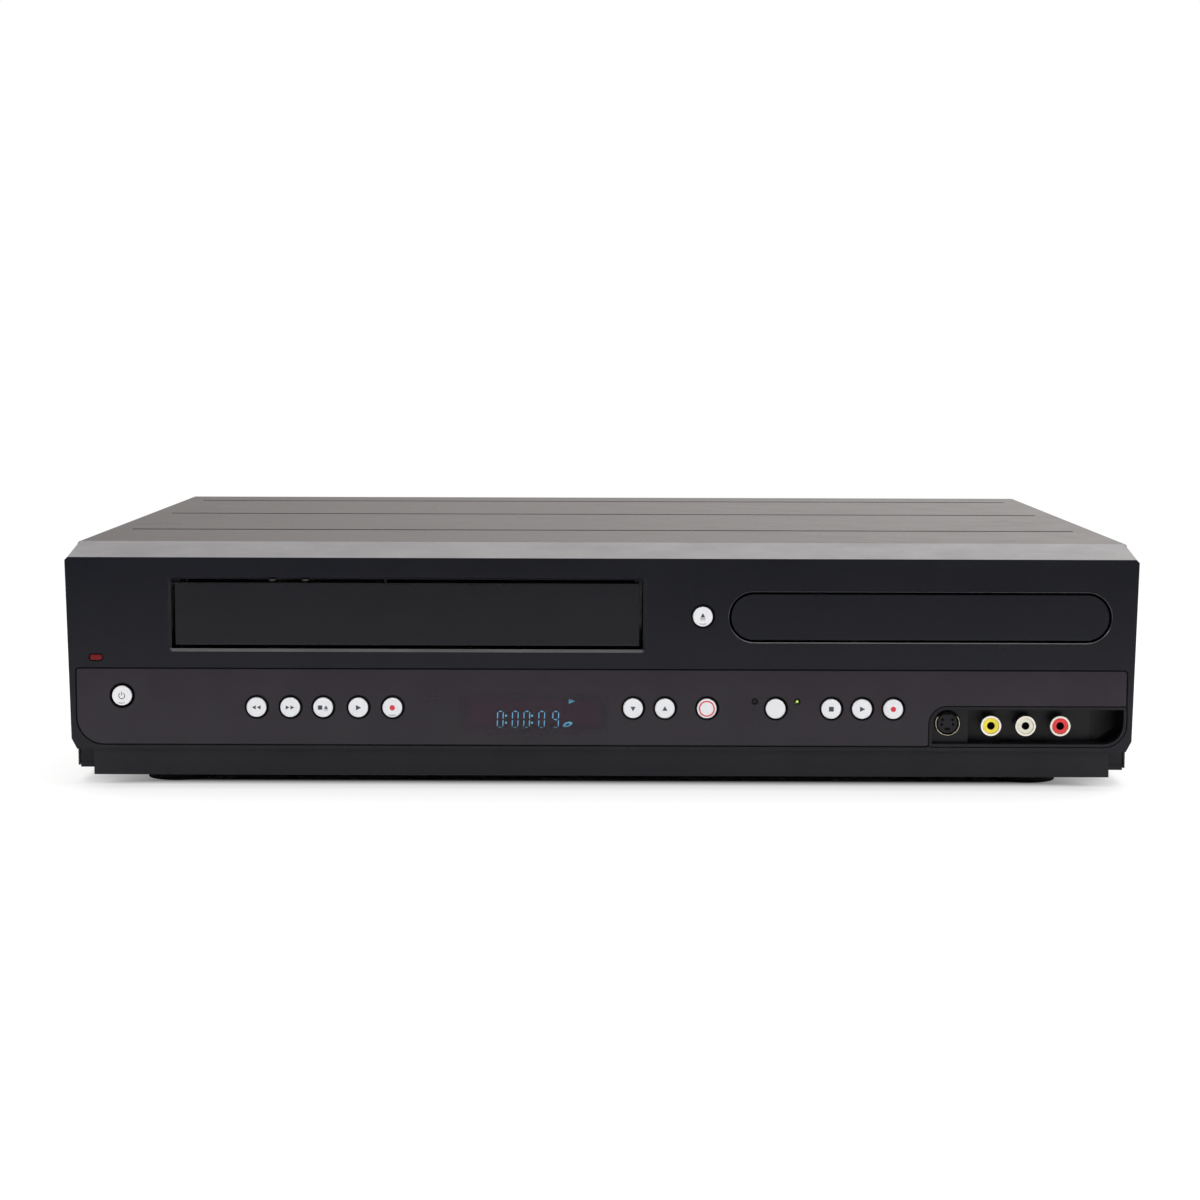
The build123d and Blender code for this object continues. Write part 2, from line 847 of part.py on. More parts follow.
# ---------------------------------------------------------------- rear panel and its sockets
rear_bottom = inner_floor + gap
antenna_places = [(antenna_x + side * antenna_pitch / 2, socket_z) for side in (-1, 1)]
rear_top = case_height - sheet - gap
with BuildPart() as rear_panel:
    with BuildSketch(facing(rear_depth - sheet)):
        with Locations((0, (rear_bottom + rear_top) / 2)):
            Rectangle(2 * (inner_half - gap), rear_top - rear_bottom)
        with Locations(*rear_phonos, *antenna_places):
            Rectangle(neck_size + gap, neck_size + gap, mode=Mode.SUBTRACT)
        with Locations((hdmi_x, socket_z)):
            Rectangle(hdmi_width + gap, hdmi_height + gap, mode=Mode.SUBTRACT)
        with Locations((inlet_x, inlet_z)):
            Rectangle(inlet_width + gap, inlet_height + gap, mode=Mode.SUBTRACT)
        # grille in front of the fan, its slots shorter towards both sides
        for step in range(grille_slots):
            away = (step - (grille_slots - 1) / 2) * grille_pitch
            with Locations((fan_x + away, fan_z)):
                Rectangle(
                    grille_slot_width,
                    2 * sqrt(fan_opening_radius**2 - away**2) - fan_hub_radius / 2,
                    mode=Mode.SUBTRACT,
                )
    extrude(amount=-sheet)
rear_panel.part.label = "rear_panel"
export_step(rear_panel.part, "parts/rear_panel.step")

block_front = rear_bed - rear_block_depth
with BuildPart() as rear_jack_block:
    with BuildSketch(facing(block_front)):
        with Locations((rear_phono_xs[1], socket_z)):
            Rectangle(rear_phono_xs[-1] - rear_phono_xs[0] + 3 * phono_outer, 2 * rear_block_half)
    extrude(amount=-rear_block_depth)
rear_jack_block.part.label = "rear_jack_block"
export_step(rear_jack_block.part, "parts/rear_jack_block.step")

with BuildPart() as antenna_block:
    with BuildSketch(facing(block_front)):
        with Locations((antenna_x, socket_z)):
            Rectangle(antenna_pitch + 3 * antenna_radius, 2 * rear_block_half)
    extrude(amount=-rear_block_depth)
    with BuildSketch(facing(rear_bed)):
        with Locations(*antenna_places):
            Rectangle(neck_size, neck_size)
    extrude(amount=-(rear_seat - rear_bed))
    with BuildSketch(facing(rear_seat)):
        with Locations(*antenna_places):
            Circle(antenna_radius)
    extrude(amount=-(rear_end - rear_seat))
    with BuildSketch(facing(rear_end)):
        with Locations(*antenna_places):
            Circle(antenna_bore_radius)
    extrude(amount=rear_end - rear_seat, mode=Mode.SUBTRACT)
antenna_block.part.label = "antenna_block"
export_step(antenna_block.part, "parts/antenna_block.step")

with BuildPart() as digital_socket:
    with BuildSketch(facing(block_front)):
        with Locations((hdmi_x, socket_z)):
            Rectangle(hdmi_width, hdmi_height)
    extrude(amount=-(rear_depth - block_front))
    with BuildSketch(facing(rear_depth)):
        with Locations((hdmi_x, socket_z)):
            Rectangle(hdmi_width - 2 * gap, hdmi_height - 2 * gap)
            Rectangle(hdmi_width - 6 * gap, 2 * gap, mode=Mode.SUBTRACT)
    extrude(amount=rear_block_depth / 2, mode=Mode.SUBTRACT)
digital_socket.part.label = "digital_socket"
export_step(digital_socket.part, "parts/digital_socket.step")

with BuildPart() as mains_inlet:
    with BuildSketch(facing(block_front)):
        with Locations((inlet_x, inlet_z)):
            Rectangle(inlet_width, inlet_height)
    extrude(amount=-(rear_depth - block_front))
    with BuildSketch(facing(rear_depth)):
        with Locations((inlet_x, inlet_z)):
            SlotOverall(inlet_width - 2 * sheet, inlet_height - 2 * sheet)
    extrude(amount=inlet_cavity, mode=Mode.SUBTRACT)
    with BuildSketch(facing(rear_depth - inlet_cavity)):
        with Locations((inlet_x, inlet_z)):
            with GridLocations(inlet_width / 2, 1, 2, 1):
                Rectangle(sheet, 2 * sheet)
    extrude(amount=-rear_block_depth / 2)
mains_inlet.part.label = "mains_inlet"
export_step(mains_inlet.part, "parts/mains_inlet.step")

# ---------------------------------------------------------------- fan
fan_back = rear_bed
with BuildPart() as fan_frame:
    with BuildSketch(facing(fan_back)):
        with Locations((fan_x, fan_z)):
            Rectangle(fan_size, fan_size)
            Circle(fan_opening_radius, mode=Mode.SUBTRACT)
    extrude(amount=fan_depth)
    with BuildSketch(facing(fan_back - fan_depth)):
        with Locations((fan_x, fan_z)):
            Rectangle(fan_hub_radius, fan_hub_radius)
            for arm in range(fan_arms):
                with Locations(Rotation(0, 0, fan_arm_turn + arm * 360 / fan_arms)):
                    with Locations((fan_opening_radius / 2, 0)):
                        Rectangle(fan_opening_radius + sheet, floor_thickness)
    extrude(amount=-recess_wall)
    with BuildSketch(facing(fan_back - fan_depth + recess_wall)):
        with Locations((fan_x, fan_z)):
            Circle(shaft_radius - shaft_play)
    extrude(amount=-fan_depth / 2)
fan_frame.part.label = "fan_frame"
export_step(fan_frame.part, "parts/fan_frame.step")

with BuildPart() as fan_rotor:
    rotor_front = fan_back - fan_depth + recess_wall + 2 * gap
    rotor_height = fan_depth - recess_wall - 3 * gap
    with BuildSketch(facing(rotor_front)):
        with Locations((fan_x, fan_z)):
            Circle(fan_hub_radius)
            Circle(shaft_radius, mode=Mode.SUBTRACT)
    extrude(amount=-rotor_height)
    for blade in range(fan_blades):
        with BuildSketch(facing(rotor_front + rotor_height / 4)):
            with Locations(Location((fan_x, fan_z), blade * 360 / fan_blades)):
                with Locations(Location(((fan_hub_radius + fan_opening_radius) / 2 - gap, 0), blade_pitch)):
                    Rectangle(fan_opening_radius - fan_hub_radius, recess_wall)
        extrude(amount=-rotor_height / 2)
fan_rotor.part.label = "fan_rotor"
export_step(fan_rotor.part, "parts/fan_rotor.step")

# ---------------------------------------------------------------- main and power boards
board_z = inner_floor + 6 * recess_wall
board_middle = back((deck_front + chassis_back) / 2)
board_length = chassis_back - deck_front - 2 * chassis_wall
main_left = -inner_half + 4 * chassis_wall
main_right = disc_x - loader_half - 2 * loader_wall
main_middle = ((main_left + main_right) / 2, board_middle)
with BuildPart() as main_board:
    with BuildSketch(Plane.XY.offset(board_z)):
        with Locations(main_middle):
            Rectangle(main_right - main_left, board_length)
    extrude(amount=board_thickness)
    with BuildSketch(Plane.XY.offset(inner_floor)):
        with Locations(main_middle):
            with GridLocations(main_right - main_left - post_inset, board_length - post_inset, 2, 2):
                Rectangle(boss_size, boss_size)
    extrude(amount=board_z - inner_floor)
    # processors
    with BuildSketch(Plane.XY.offset(board_z + board_thickness)):
        with Locations(main_middle):
            with GridLocations(board_length / 4, board_length / 3, 2, 2):
                Rectangle(chip_size, chip_size)
    extrude(amount=board_thickness)
main_board.part.label = "main_board"
export_step(main_board.part, "parts/main_board.step")

power_length = board_length - fan_depth - 2 * chassis_wall
power_middle = (disc_x, board_middle - fan_depth / 2)
transformer_place = (power_middle[0] + loader_half / 2, power_middle[1] - power_length / 4)
heat_sink_place = (power_middle[0] - loader_half / 2, power_middle[1] - power_length / 4)
with BuildPart() as power_board:
    with BuildSketch(Plane.XY.offset(board_z)):
        with Locations(power_middle):
            Rectangle(2 * loader_half, power_length)
    extrude(amount=board_thickness)
    with BuildSketch(Plane.XY.offset(inner_floor)):
        with Locations(power_middle):
            with GridLocations(2 * loader_half - post_inset, power_length - post_inset, 2, 2):
                Rectangle(boss_size, boss_size)
    extrude(amount=board_z - inner_floor)
    with BuildSketch(Plane.XY.offset(board_z + board_thickness)):
        with Locations(transformer_place):
            Rectangle(transformer_width, transformer_length)
        with Locations(heat_sink_place):
            Rectangle(heat_sink_width, heat_sink_length)
    extrude(amount=loader_floor - board_z - board_thickness - boss_size)
    # two reservoir capacitors between them
    with BuildSketch(Plane.XY.offset(board_z + board_thickness)):
        with Locations(power_middle, (power_middle[0], heat_sink_place[1])):
            Circle(capacitor_radius)
    extrude(amount=loader_floor - board_z - board_thickness - capacitor_radius)
power_board.part.label = "power_board"
export_step(power_board.part, "parts/power_board.step")

# ---------------------------------------------------------------- cassette deck
holder_half = cassette_width / 2 + holder_play
holder_outer = holder_half + holder_sheet
holder_low = slot_bottom - holder_room
holder_high = holder_low + cassette_thickness + 2 * holder_room
slide_inner = holder_outer + slide_gap
slide_outer = slide_inner + slide_sheet
deck_inner = slide_outer + slide_gap
reel_places = [(slot_x + side * reel_pitch / 2, back(reel_y)) for side in (-1, 1)]
capstan_place = (capstan_x, back(capstan_y))
pinch_pivot = (pinch_x, back(pinch_y))
with BuildPart() as cassette_deck:
    deck_middle = back(deck_front + deck_length / 2)
    with BuildSketch(Plane.XY.offset(deck_z)):
        with Locations((slot_x, deck_middle)):
            Rectangle(2 * (deck_inner + deck_sheet), deck_length)
        with Locations(capstan_place):
            Circle(capstan_radius + shaft_play, mode=Mode.SUBTRACT)
    extrude(amount=deck_sheet)
    with BuildSketch(Plane.XY.offset(deck_z)):
        for side in (-1, 1):
            with Locations((slot_x + side * (deck_inner + deck_sheet / 2), deck_middle)):
                Rectangle(deck_sheet, deck_length)
    extrude(amount=deck_top - deck_z)
    with BuildSketch(Plane.XY.offset(board_z + board_thickness)):
        with Locations((slot_x, deck_middle)):
            with GridLocations(2 * deck_inner - leg_inset, deck_length - leg_inset, 2, 2):
                Rectangle(boss_size, boss_size)
    extrude(amount=deck_z - board_z - board_thickness)
    # posts for the reels and the pinch roller's arm
    with BuildSketch(Plane.XY.offset(deck_z + deck_sheet)):
        with Locations(*reel_places, pinch_pivot):
            Circle(shaft_radius)
    extrude(amount=spindle_height - gap)
cassette_deck.part.label = "cassette_deck"
export_step(cassette_deck.part, "parts/cassette_deck.step")

with BuildPart() as holder_slides:
    slide_middle = back(holder_front + holder_length / 2)
    for side in (-1, 1):
        with BuildSketch(Plane.XY.offset(deck_z + deck_sheet + gap)):
            with Locations((slot_x + side * (slide_inner + slide_sheet / 2), slide_middle)):
                Rectangle(slide_sheet, holder_length)
        extrude(amount=deck_top - deck_z - deck_sheet - gap)
    with BuildSketch(Plane.XY.offset(deck_top)):
        with Locations((slot_x, back(holder_front + holder_length - slide_gap - chassis_wall))):
            Rectangle(2 * slide_outer, 2 * chassis_wall)
    extrude(amount=deck_sheet)
holder_slides.part.label = "holder_slides"
export_step(holder_slides.part, "parts/holder_slides.step")

with BuildPart() as cassette_holder:
    with BuildSketch(facing(holder_front)):
        with Locations((slot_x, (holder_low + holder_high) / 2)):
            Rectangle(2 * holder_outer, holder_high - holder_low + 2 * holder_sheet)
            Rectangle(2 * holder_half, holder_high - holder_low, mode=Mode.SUBTRACT)
    extrude(amount=-holder_length)
    # floor open to the back, so that it comes down over the reels
    reel_room = reel_pitch / 2 + reel_radius + 2 * slide_gap + chassis_wall
    with BuildSketch(Plane.XY.offset(holder_low)):
        with Locations((slot_x, back(holder_front + holder_length / 2 + reel_radius))):
            Rectangle(2 * reel_room, holder_length)
    extrude(amount=-2 * holder_sheet, mode=Mode.SUBTRACT)
    # window in the lid
    with BuildSketch(Plane.XY.offset(holder_high)):
        with Locations((slot_x, back(holder_front + holder_length / 2))):
            Rectangle(reel_pitch, holder_length / 2)
    extrude(amount=2 * holder_sheet, mode=Mode.SUBTRACT)
cassette_holder.part.label = "cassette_holder"
export_step(cassette_holder.part, "parts/cassette_holder.step")

for node, place in zip(("supply_reel", "takeup_reel"), reel_places):
    with BuildPart() as reel:
        with BuildSketch(Plane.XY.offset(deck_z + deck_sheet + gap)):
            with Locations(place):
                Circle(reel_radius)
                Circle(shaft_radius + shaft_play, mode=Mode.SUBTRACT)
        extrude(amount=floor_thickness)
        with BuildSketch(Plane.XY.offset(deck_z + deck_sheet + gap)):
            with Locations(place):
                Circle(spindle_radius)
                with PolarLocations(spindle_radius, 3):
                    Rectangle(spindle_radius, recess_wall)
                Circle(shaft_radius + shaft_play, mode=Mode.SUBTRACT)
        extrude(amount=spindle_height)
    reel.part.label = node
    export_step(reel.part, f"parts/{node}.step")

drum_base_z = deck_z + deck_sheet + 2 * chassis_wall
drum_lean = radians(drum_tilt)
drum_plane = Plane(origin=(slot_x, back(drum_y), drum_base_z), z_dir=(0, -sin(drum_lean), cos(drum_lean)))
with BuildPart() as drum_lower:
    with BuildSketch(drum_plane):
        Circle(drum_radius)
    extrude(amount=drum_lower_height)
    # its base on the deck
    with BuildSketch(drum_plane):
        Rectangle(drum_radius, drum_radius)
    extrude(amount=-drum_base_z + deck_z + deck_sheet + sin(drum_lean) * drum_radius)
    with BuildSketch(drum_plane.offset(drum_lower_height)):
        Circle(shaft_radius)
    extrude(amount=drum_upper_height)
drum_lower.part.label = "drum_lower"
export_step(drum_lower.part, "parts/drum_lower.step")

with BuildPart() as drum_upper:
    with BuildSketch(drum_plane.offset(drum_lower_height + drum_gap)):
        Circle(drum_radius)
        Circle(shaft_radius + shaft_play, mode=Mode.SUBTRACT)
    extrude(amount=drum_upper_height)
drum_upper.part.label = "drum_upper"
export_step(drum_upper.part, "parts/drum_upper.step")

with BuildPart() as capstan:
    with BuildSketch(Plane.XY.offset(deck_z - gap - flywheel_height)):
        with Locations(capstan_place):
            Circle(flywheel_radius)
    extrude(amount=flywheel_height)
    with BuildSketch(Plane.XY.offset(deck_z - gap)):
        with Locations(capstan_place):
            Circle(capstan_radius)
    extrude(amount=gap + deck_sheet + pinch_height + 2 * spindle_radius)
capstan.part.label = "capstan"
export_step(capstan.part, "parts/capstan.step")

with BuildPart() as pinch_arm:
    arm_z = deck_z + deck_sheet + gap
    arm_turn = radians(pinch_rest)
    roller_place = (
        pinch_pivot[0] + pinch_arm_length * cos(arm_turn),
        pinch_pivot[1] + pinch_arm_length * sin(arm_turn),
    )
    with BuildSketch(Plane.XY.offset(arm_z)):
        with Locations(Location(pinch_pivot, pinch_rest)):
            SlotCenterPoint((pinch_arm_length / 2, 0), (pinch_arm_length, 0), pinch_radius)
        with Locations(pinch_pivot):
            Circle(shaft_radius + shaft_play, mode=Mode.SUBTRACT)
    extrude(amount=floor_thickness)
    with BuildSketch(Plane.XY.offset(arm_z + floor_thickness)):
        with Locations(roller_place):
            Circle(pinch_radius)
    extrude(amount=pinch_height)
pinch_arm.part.label = "pinch_arm"
export_step(pinch_arm.part, "parts/pinch_arm.step")

# ---------------------------------------------------------------- disc loader
tray_low = disc_z - tray_thickness / 2 - tray_clearance
tray_high = tray_low + tray_thickness
loader_middle = back(loader_front + loader_length / 2)
disc_middle = (disc_x, back(disc_centre))
gear_radius = gear_module * gear_teeth / 2
rack_x = disc_x - tray_width / 2 + gear_inset
gear_place = (rack_x - gear_radius, back(gear_y))
gear_z = tray_low - gap - gear_thickness
tooth_pitch = pi * gear_module
half_tooth = tooth_pitch / 4 - tooth_play / 2
flank = tan(radians(pressure_angle))


def rack_teeth():
    """Straight-sided teeth along the drawer, with a gap facing the gear."""
    count = int((tray_front + tray_length - gear_y - loader_wall) / tooth_pitch)
    before = int((gear_y - rack_start) / tooth_pitch)
    corners = []
    for tooth in range(-before, count):
        middle = back(gear_y) + tooth * tooth_pitch + tooth_pitch / 2
        foot = half_tooth + tooth_root * flank
        tip = half_tooth - gear_module * flank
        corners += [
            (rack_x + tooth_root, middle - foot),
            (rack_x - gear_module, middle - tip),
            (rack_x - gear_module, middle + tip),
            (rack_x + tooth_root, middle + foot),
        ]
    far_side = rack_x + gear_thickness
    return corners + [(far_side, corners[-1][1]), (far_side, corners[0][1])]


def gear_outline():
    """Involute teeth, the first of them pointing along X at the rack."""
    base = gear_radius * cos(radians(pressure_angle))
    root = gear_radius - tooth_root
    tip = gear_radius + gear_module
    reach = [root, base, gear_radius, (gear_radius + tip) / 2, tip]

    def half_angle(radius):
        roll = acos(min(1.0, base / radius))
        return half_tooth / gear_radius + flank - radians(pressure_angle) - tan(roll) + roll

    corners = []
    for tooth in range(gear_teeth):
        middle = 2 * pi * tooth / gear_teeth
        rising = [(radius, middle - half_angle(radius)) for radius in reach]
        falling = [(radius, middle + half_angle(radius)) for radius in reversed(reach)]
        corners += [(radius * cos(turn), radius * sin(turn)) for radius, turn in rising + falling]
    return corners

with BuildPart() as loader_chassis:
    with BuildSketch(Plane.XY.offset(loader_floor)):
        with Locations((disc_x, loader_middle)):
            Rectangle(2 * loader_half, loader_length)
        with Locations((disc_x, back(traverse_pivot_y - traverse_length / 2))):
            Rectangle(traverse_width + 2 * loader_wall, traverse_length + 2 * loader_wall, mode=Mode.SUBTRACT)
    extrude(amount=loader_wall)
    with BuildSketch(Plane.XY.offset(loader_floor)):
        for side in (-1, 1):
            with Locations((disc_x + side * (loader_half - loader_wall / 2), loader_middle)):
                Rectangle(loader_wall, loader_length)
    extrude(amount=loader_top - loader_floor)
    # back wall, clear of the drawer's end
    with BuildSketch(Plane.XY.offset(loader_floor)):
        with Locations((disc_x, back(loader_front + loader_length - loader_wall / 2))):
            Rectangle(2 * loader_half, loader_wall)
    extrude(amount=loader_top - loader_floor)
    # rails under and over the drawer's edges
    rail_inner = tray_width / 2 - 2 * loader_wall
    rail_middle = back(loader_front + 3 * loader_length / 4)
    for low, high in ((loader_floor, tray_low - gap), (tray_high + gap, loader_top)):
        with BuildSketch(Plane.XY.offset(low)):
            for side in (-1, 1):
                with Locations((disc_x + side * (rail_inner + loader_half) / 2, rail_middle)):
                    Rectangle(loader_half - rail_inner, loader_length / 3)
        extrude(amount=high - low)
    # bearings of the traverse frame's hinge
    with BuildSketch(Plane.YZ.offset(disc_x)):
        with Locations((back(traverse_pivot_y), traverse_z + traverse_sheet / 2)):
            Rectangle(4 * rod_radius, 6 * rod_radius)
            Circle(rod_radius + shaft_play, mode=Mode.SUBTRACT)
    extrude(amount=traverse_width / 2 + 3 * loader_wall, both=True)
    with BuildSketch(Plane.YZ.offset(disc_x)):
        with Locations((back(traverse_pivot_y), traverse_z + traverse_sheet / 2)):
            Rectangle(4 * rod_radius, 6 * rod_radius)
    extrude(amount=traverse_width / 2 + loader_wall, both=True, mode=Mode.SUBTRACT)
    # post of the drive gear
    with BuildSketch(Plane.XY.offset(loader_floor)):
        with Locations(gear_place):
            Circle(gear_bore)
    extrude(amount=gear_z + gear_thickness - loader_floor)
    with BuildSketch(Plane.XY.offset(loader_floor)):
        with Locations(gear_place):
            Circle(2 * gear_bore)
    extrude(amount=gear_z - gap - loader_floor)
    # legs to the chassis, outside the power board
    with BuildSketch(Plane.XY.offset(inner_floor)):
        for side in (-1, 1):
            with Locations((disc_x + side * (loader_half + loader_wall / 2), loader_middle)):
                with GridLocations(loader_wall, 2 * loader_length / 3, 1, 2):
                    Rectangle(loader_wall, 5 * loader_wall)
    extrude(amount=loader_top - inner_floor - 4 * loader_wall)
loader_chassis.part.label = "loader_chassis"
export_step(loader_chassis.part, "parts/loader_chassis.step")

with BuildPart() as disc_tray:
    tray_middle = (disc_x, back(tray_front + tray_length / 2))
    opening_start = disc_centre - window_width / 2
    opening_end = tray_front + tray_length - window_rim
    with BuildSketch(Plane.XY.offset(tray_low)):
        with Locations(tray_middle):
            Rectangle(tray_width, tray_length)
        with Locations((disc_x, back((opening_start + opening_end) / 2))):
            Rectangle(window_width, opening_end - opening_start, mode=Mode.SUBTRACT)
    extrude(amount=tray_thickness)
    with BuildSketch(Plane.XY.offset(tray_high)):
        with Locations(disc_middle):
            Circle(disc_diameter / 2 + disc_room)
    extrude(amount=-disc_pocket, mode=Mode.SUBTRACT)
    with BuildSketch(Plane.XY.offset(tray_high)):
        with Locations(disc_middle):
            Circle(small_disc_diameter / 2 + disc_room)
    extrude(amount=-disc_pocket - small_pocket, mode=Mode.SUBTRACT)
    with BuildSketch(Plane.XY.offset(tray_low)):
        with BuildLine():
            Polyline(*rack_teeth(), close=True)
        make_face()
    extrude(amount=-rack_height)
disc_tray.part.label = "disc_tray"
export_step(disc_tray.part, "parts/disc_tray.step")

with BuildPart() as tray_gear:
    with BuildSketch(Plane.XY.offset(gear_z)):
        with Locations(gear_place):
            Polygon(*gear_outline(), align=None)
            Circle(gear_bore + shaft_play, mode=Mode.SUBTRACT)
    extrude(amount=gear_thickness)
tray_gear.part.label = "tray_gear"
export_step(tray_gear.part, "parts/tray_gear.step")

with BuildPart() as tray_door:
    with BuildSketch(facing(gap)):
        with Locations((disc_x, disc_z)):
            SlotOverall(door_width, door_height)
    extrude(amount=-door_thickness)
    chamfer(tray_door.faces().sort_by(Axis.Y)[0].edges(), gap)
    with BuildSketch(facing(gap + door_thickness)):
        with Locations((disc_x, (tray_low + tray_high) / 2)):
            with GridLocations(tray_width / 2, 1, 2, 1):
                Rectangle(4 * loader_wall, tray_thickness - 2 * loader_wall)
    extrude(amount=-(tray_front - gap - door_thickness))
tray_door.part.label = "tray_door"
export_step(tray_door.part, "parts/tray_door.step")

with BuildPart() as clamp_bridge:
    with BuildSketch(Plane.XY.offset(bridge_z)):
        with Locations((disc_x, disc_middle[1])):
            Rectangle(2 * loader_half, bridge_width)
        with Locations(disc_middle):
            Circle(puck_collar + pin_play, mode=Mode.SUBTRACT)
    extrude(amount=bridge_thickness)
clamp_bridge.part.label = "clamp_bridge"
export_step(clamp_bridge.part, "parts/clamp_bridge.step")

with BuildPart() as clamp_puck:
    with BuildSketch(Plane.XY.offset(bridge_z - gap - puck_thickness)):
        with Locations(disc_middle):
            Circle(puck_radius)
    extrude(amount=puck_thickness)
    with BuildSketch(Plane.XY.offset(bridge_z - gap)):
        with Locations(disc_middle):
            Circle(puck_collar)
    extrude(amount=bridge_thickness + 2 * gap)
    with BuildSketch(Plane.XY.offset(bridge_z + bridge_thickness + gap)):
        with Locations(disc_middle):
            Circle(puck_radius - puck_recess)
    extrude(amount=bridge_thickness)
    # hollow that takes the turntable's hub
    with BuildSketch(Plane.XY.offset(bridge_z - gap - puck_thickness)):
        with Locations(disc_middle):
            Circle(hub_radius + slide_gap)
    extrude(amount=puck_recess, mode=Mode.SUBTRACT)
clamp_puck.part.label = "clamp_puck"
export_step(clamp_puck.part, "parts/clamp_puck.step")

rod_z = traverse_z + traverse_sheet / 2
window_start = disc_centre + turntable_radius + chassis_wall
window_end = pickup_start + pickup_travel + pickup_length / 2 + chassis_wall
window_middle = (disc_x, back((window_start + window_end) / 2))
screw_z = traverse_z + traverse_sheet + gap + screw_radius
with BuildPart() as traverse_frame:
    with BuildSketch(Plane.XY.offset(traverse_z)):
        with Locations((disc_x, back(traverse_pivot_y - traverse_length / 2))):
            Rectangle(traverse_width, traverse_length)
        with Locations(window_middle):
            Rectangle(pickup_width + loader_wall, window_end - window_start, mode=Mode.SUBTRACT)
    extrude(amount=traverse_sheet)
    # guide rods across the window
    with BuildSketch(facing(window_start - chassis_wall)):
        with Locations((disc_x - rod_half_gap, rod_z), (disc_x + rod_half_gap, rod_z)):
            Circle(rod_radius)
    extrude(amount=-(window_end - window_start + 2 * chassis_wall))
    # lugs that carry the lead screw
    for place in (window_start - chassis_wall, window_end):
        with BuildSketch(facing(place)):
            with Locations((disc_x + screw_offset, screw_z)):
                Rectangle(screw_lug, screw_lug)
            with Locations((disc_x + screw_offset, screw_z)):
                Circle(screw_radius + shaft_play, mode=Mode.SUBTRACT)
        extrude(amount=-chassis_wall)
    # hinge pins at the back, in the loader's bearings
    with BuildSketch(Plane.YZ.offset(disc_x)):
        with Locations((back(traverse_pivot_y), rod_z)):
            Circle(rod_radius)
    extrude(amount=traverse_width / 2 + 2 * loader_wall, both=True)
traverse_frame.part.label = "traverse_frame"
export_step(traverse_frame.part, "parts/traverse_frame.step")

with BuildPart() as pickup:
    with BuildSketch(Plane.XY.offset(traverse_z - pickup_height / 2)):
        with Locations((disc_x, back(pickup_start))):
            Rectangle(pickup_width, pickup_length)
    extrude(amount=pickup_height + traverse_sheet)
    with BuildSketch(Plane.XY.offset(traverse_z + traverse_sheet + gap)):
        with Locations((disc_x + (rod_half_gap + screw_offset - screw_radius - gap) / 2, back(pickup_start))):
            Rectangle(screw_offset - screw_radius - gap - rod_half_gap, pickup_length / 3)
    extrude(amount=pickup_height / 2 - gap)
    with BuildSketch(facing(pickup_start - pickup_length / 2)):
        with Locations((disc_x - rod_half_gap, rod_z), (disc_x + rod_half_gap, rod_z)):
            Circle(rod_radius + rod_play)
    extrude(amount=-pickup_length, mode=Mode.SUBTRACT)
    with BuildSketch(Plane.XY.offset(traverse_z + traverse_sheet + pickup_height / 2)):
        with Locations((disc_x, back(pickup_start))):
            Circle(lens_radius)
    extrude(amount=gap * 3)
pickup.part.label = "pickup"
export_step(pickup.part, "parts/pickup.step")

with BuildPart() as lead_screw:
    with BuildSketch(facing(window_start - 2 * chassis_wall)):
        with Locations((disc_x + screw_offset, screw_z)):
            Circle(screw_radius)
    extrude(amount=-(window_end - window_start + 4 * chassis_wall))
lead_screw.part.label = "lead_screw"
export_step(lead_screw.part, "parts/lead_screw.step")

with BuildPart() as turntable:
    with BuildSketch(Plane.XY.offset(traverse_z + traverse_sheet + gap)):
        with Locations(disc_middle):
            Circle(turntable_radius)
    extrude(amount=turntable_height)
    with BuildSketch(Plane.XY.offset(traverse_z + traverse_sheet + gap + turntable_height)):
        with Locations(disc_middle):
            Circle(hub_radius)
    extrude(amount=hub_height)
turntable.part.label = "turntable"
export_step(turntable.part, "parts/turntable.step")
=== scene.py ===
# %% [markdown]
# # A combination disc and cassette recorder, dressed for its photograph
# The engineering model already has every real piece at its real size. This notebook loads it as a
# fixed frame and gives each piece the finish that its maker would have given it. Small moulded and
# printed things that are too fine for the solids, such as the domed button caps and their signs,
# are built here as meshes and ride on the same moving bodies.

# %% Load the engineering frame
import bmesh
import bpy
import json
from math import cos, pi, radians, sin, tau
from mathutils import Matrix, Vector


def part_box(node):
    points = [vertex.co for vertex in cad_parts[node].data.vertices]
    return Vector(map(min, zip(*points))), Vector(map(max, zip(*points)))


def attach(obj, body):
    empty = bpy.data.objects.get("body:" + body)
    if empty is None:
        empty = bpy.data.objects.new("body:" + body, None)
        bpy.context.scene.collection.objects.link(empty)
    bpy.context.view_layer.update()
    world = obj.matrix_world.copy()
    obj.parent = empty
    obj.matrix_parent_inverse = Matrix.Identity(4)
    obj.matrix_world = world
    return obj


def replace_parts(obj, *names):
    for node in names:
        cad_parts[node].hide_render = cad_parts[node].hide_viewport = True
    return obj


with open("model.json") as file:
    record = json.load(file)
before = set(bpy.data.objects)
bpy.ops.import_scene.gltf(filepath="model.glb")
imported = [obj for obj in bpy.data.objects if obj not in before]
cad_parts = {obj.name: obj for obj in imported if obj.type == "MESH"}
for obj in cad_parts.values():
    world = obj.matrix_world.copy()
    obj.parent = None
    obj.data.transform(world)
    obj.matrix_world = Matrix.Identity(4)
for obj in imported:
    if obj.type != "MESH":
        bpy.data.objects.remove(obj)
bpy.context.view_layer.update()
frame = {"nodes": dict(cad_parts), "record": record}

nodes = frame["nodes"]
millimetre = 0.001
face_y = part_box("front_panel")[0].y
strip_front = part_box("control_panel")[0].y

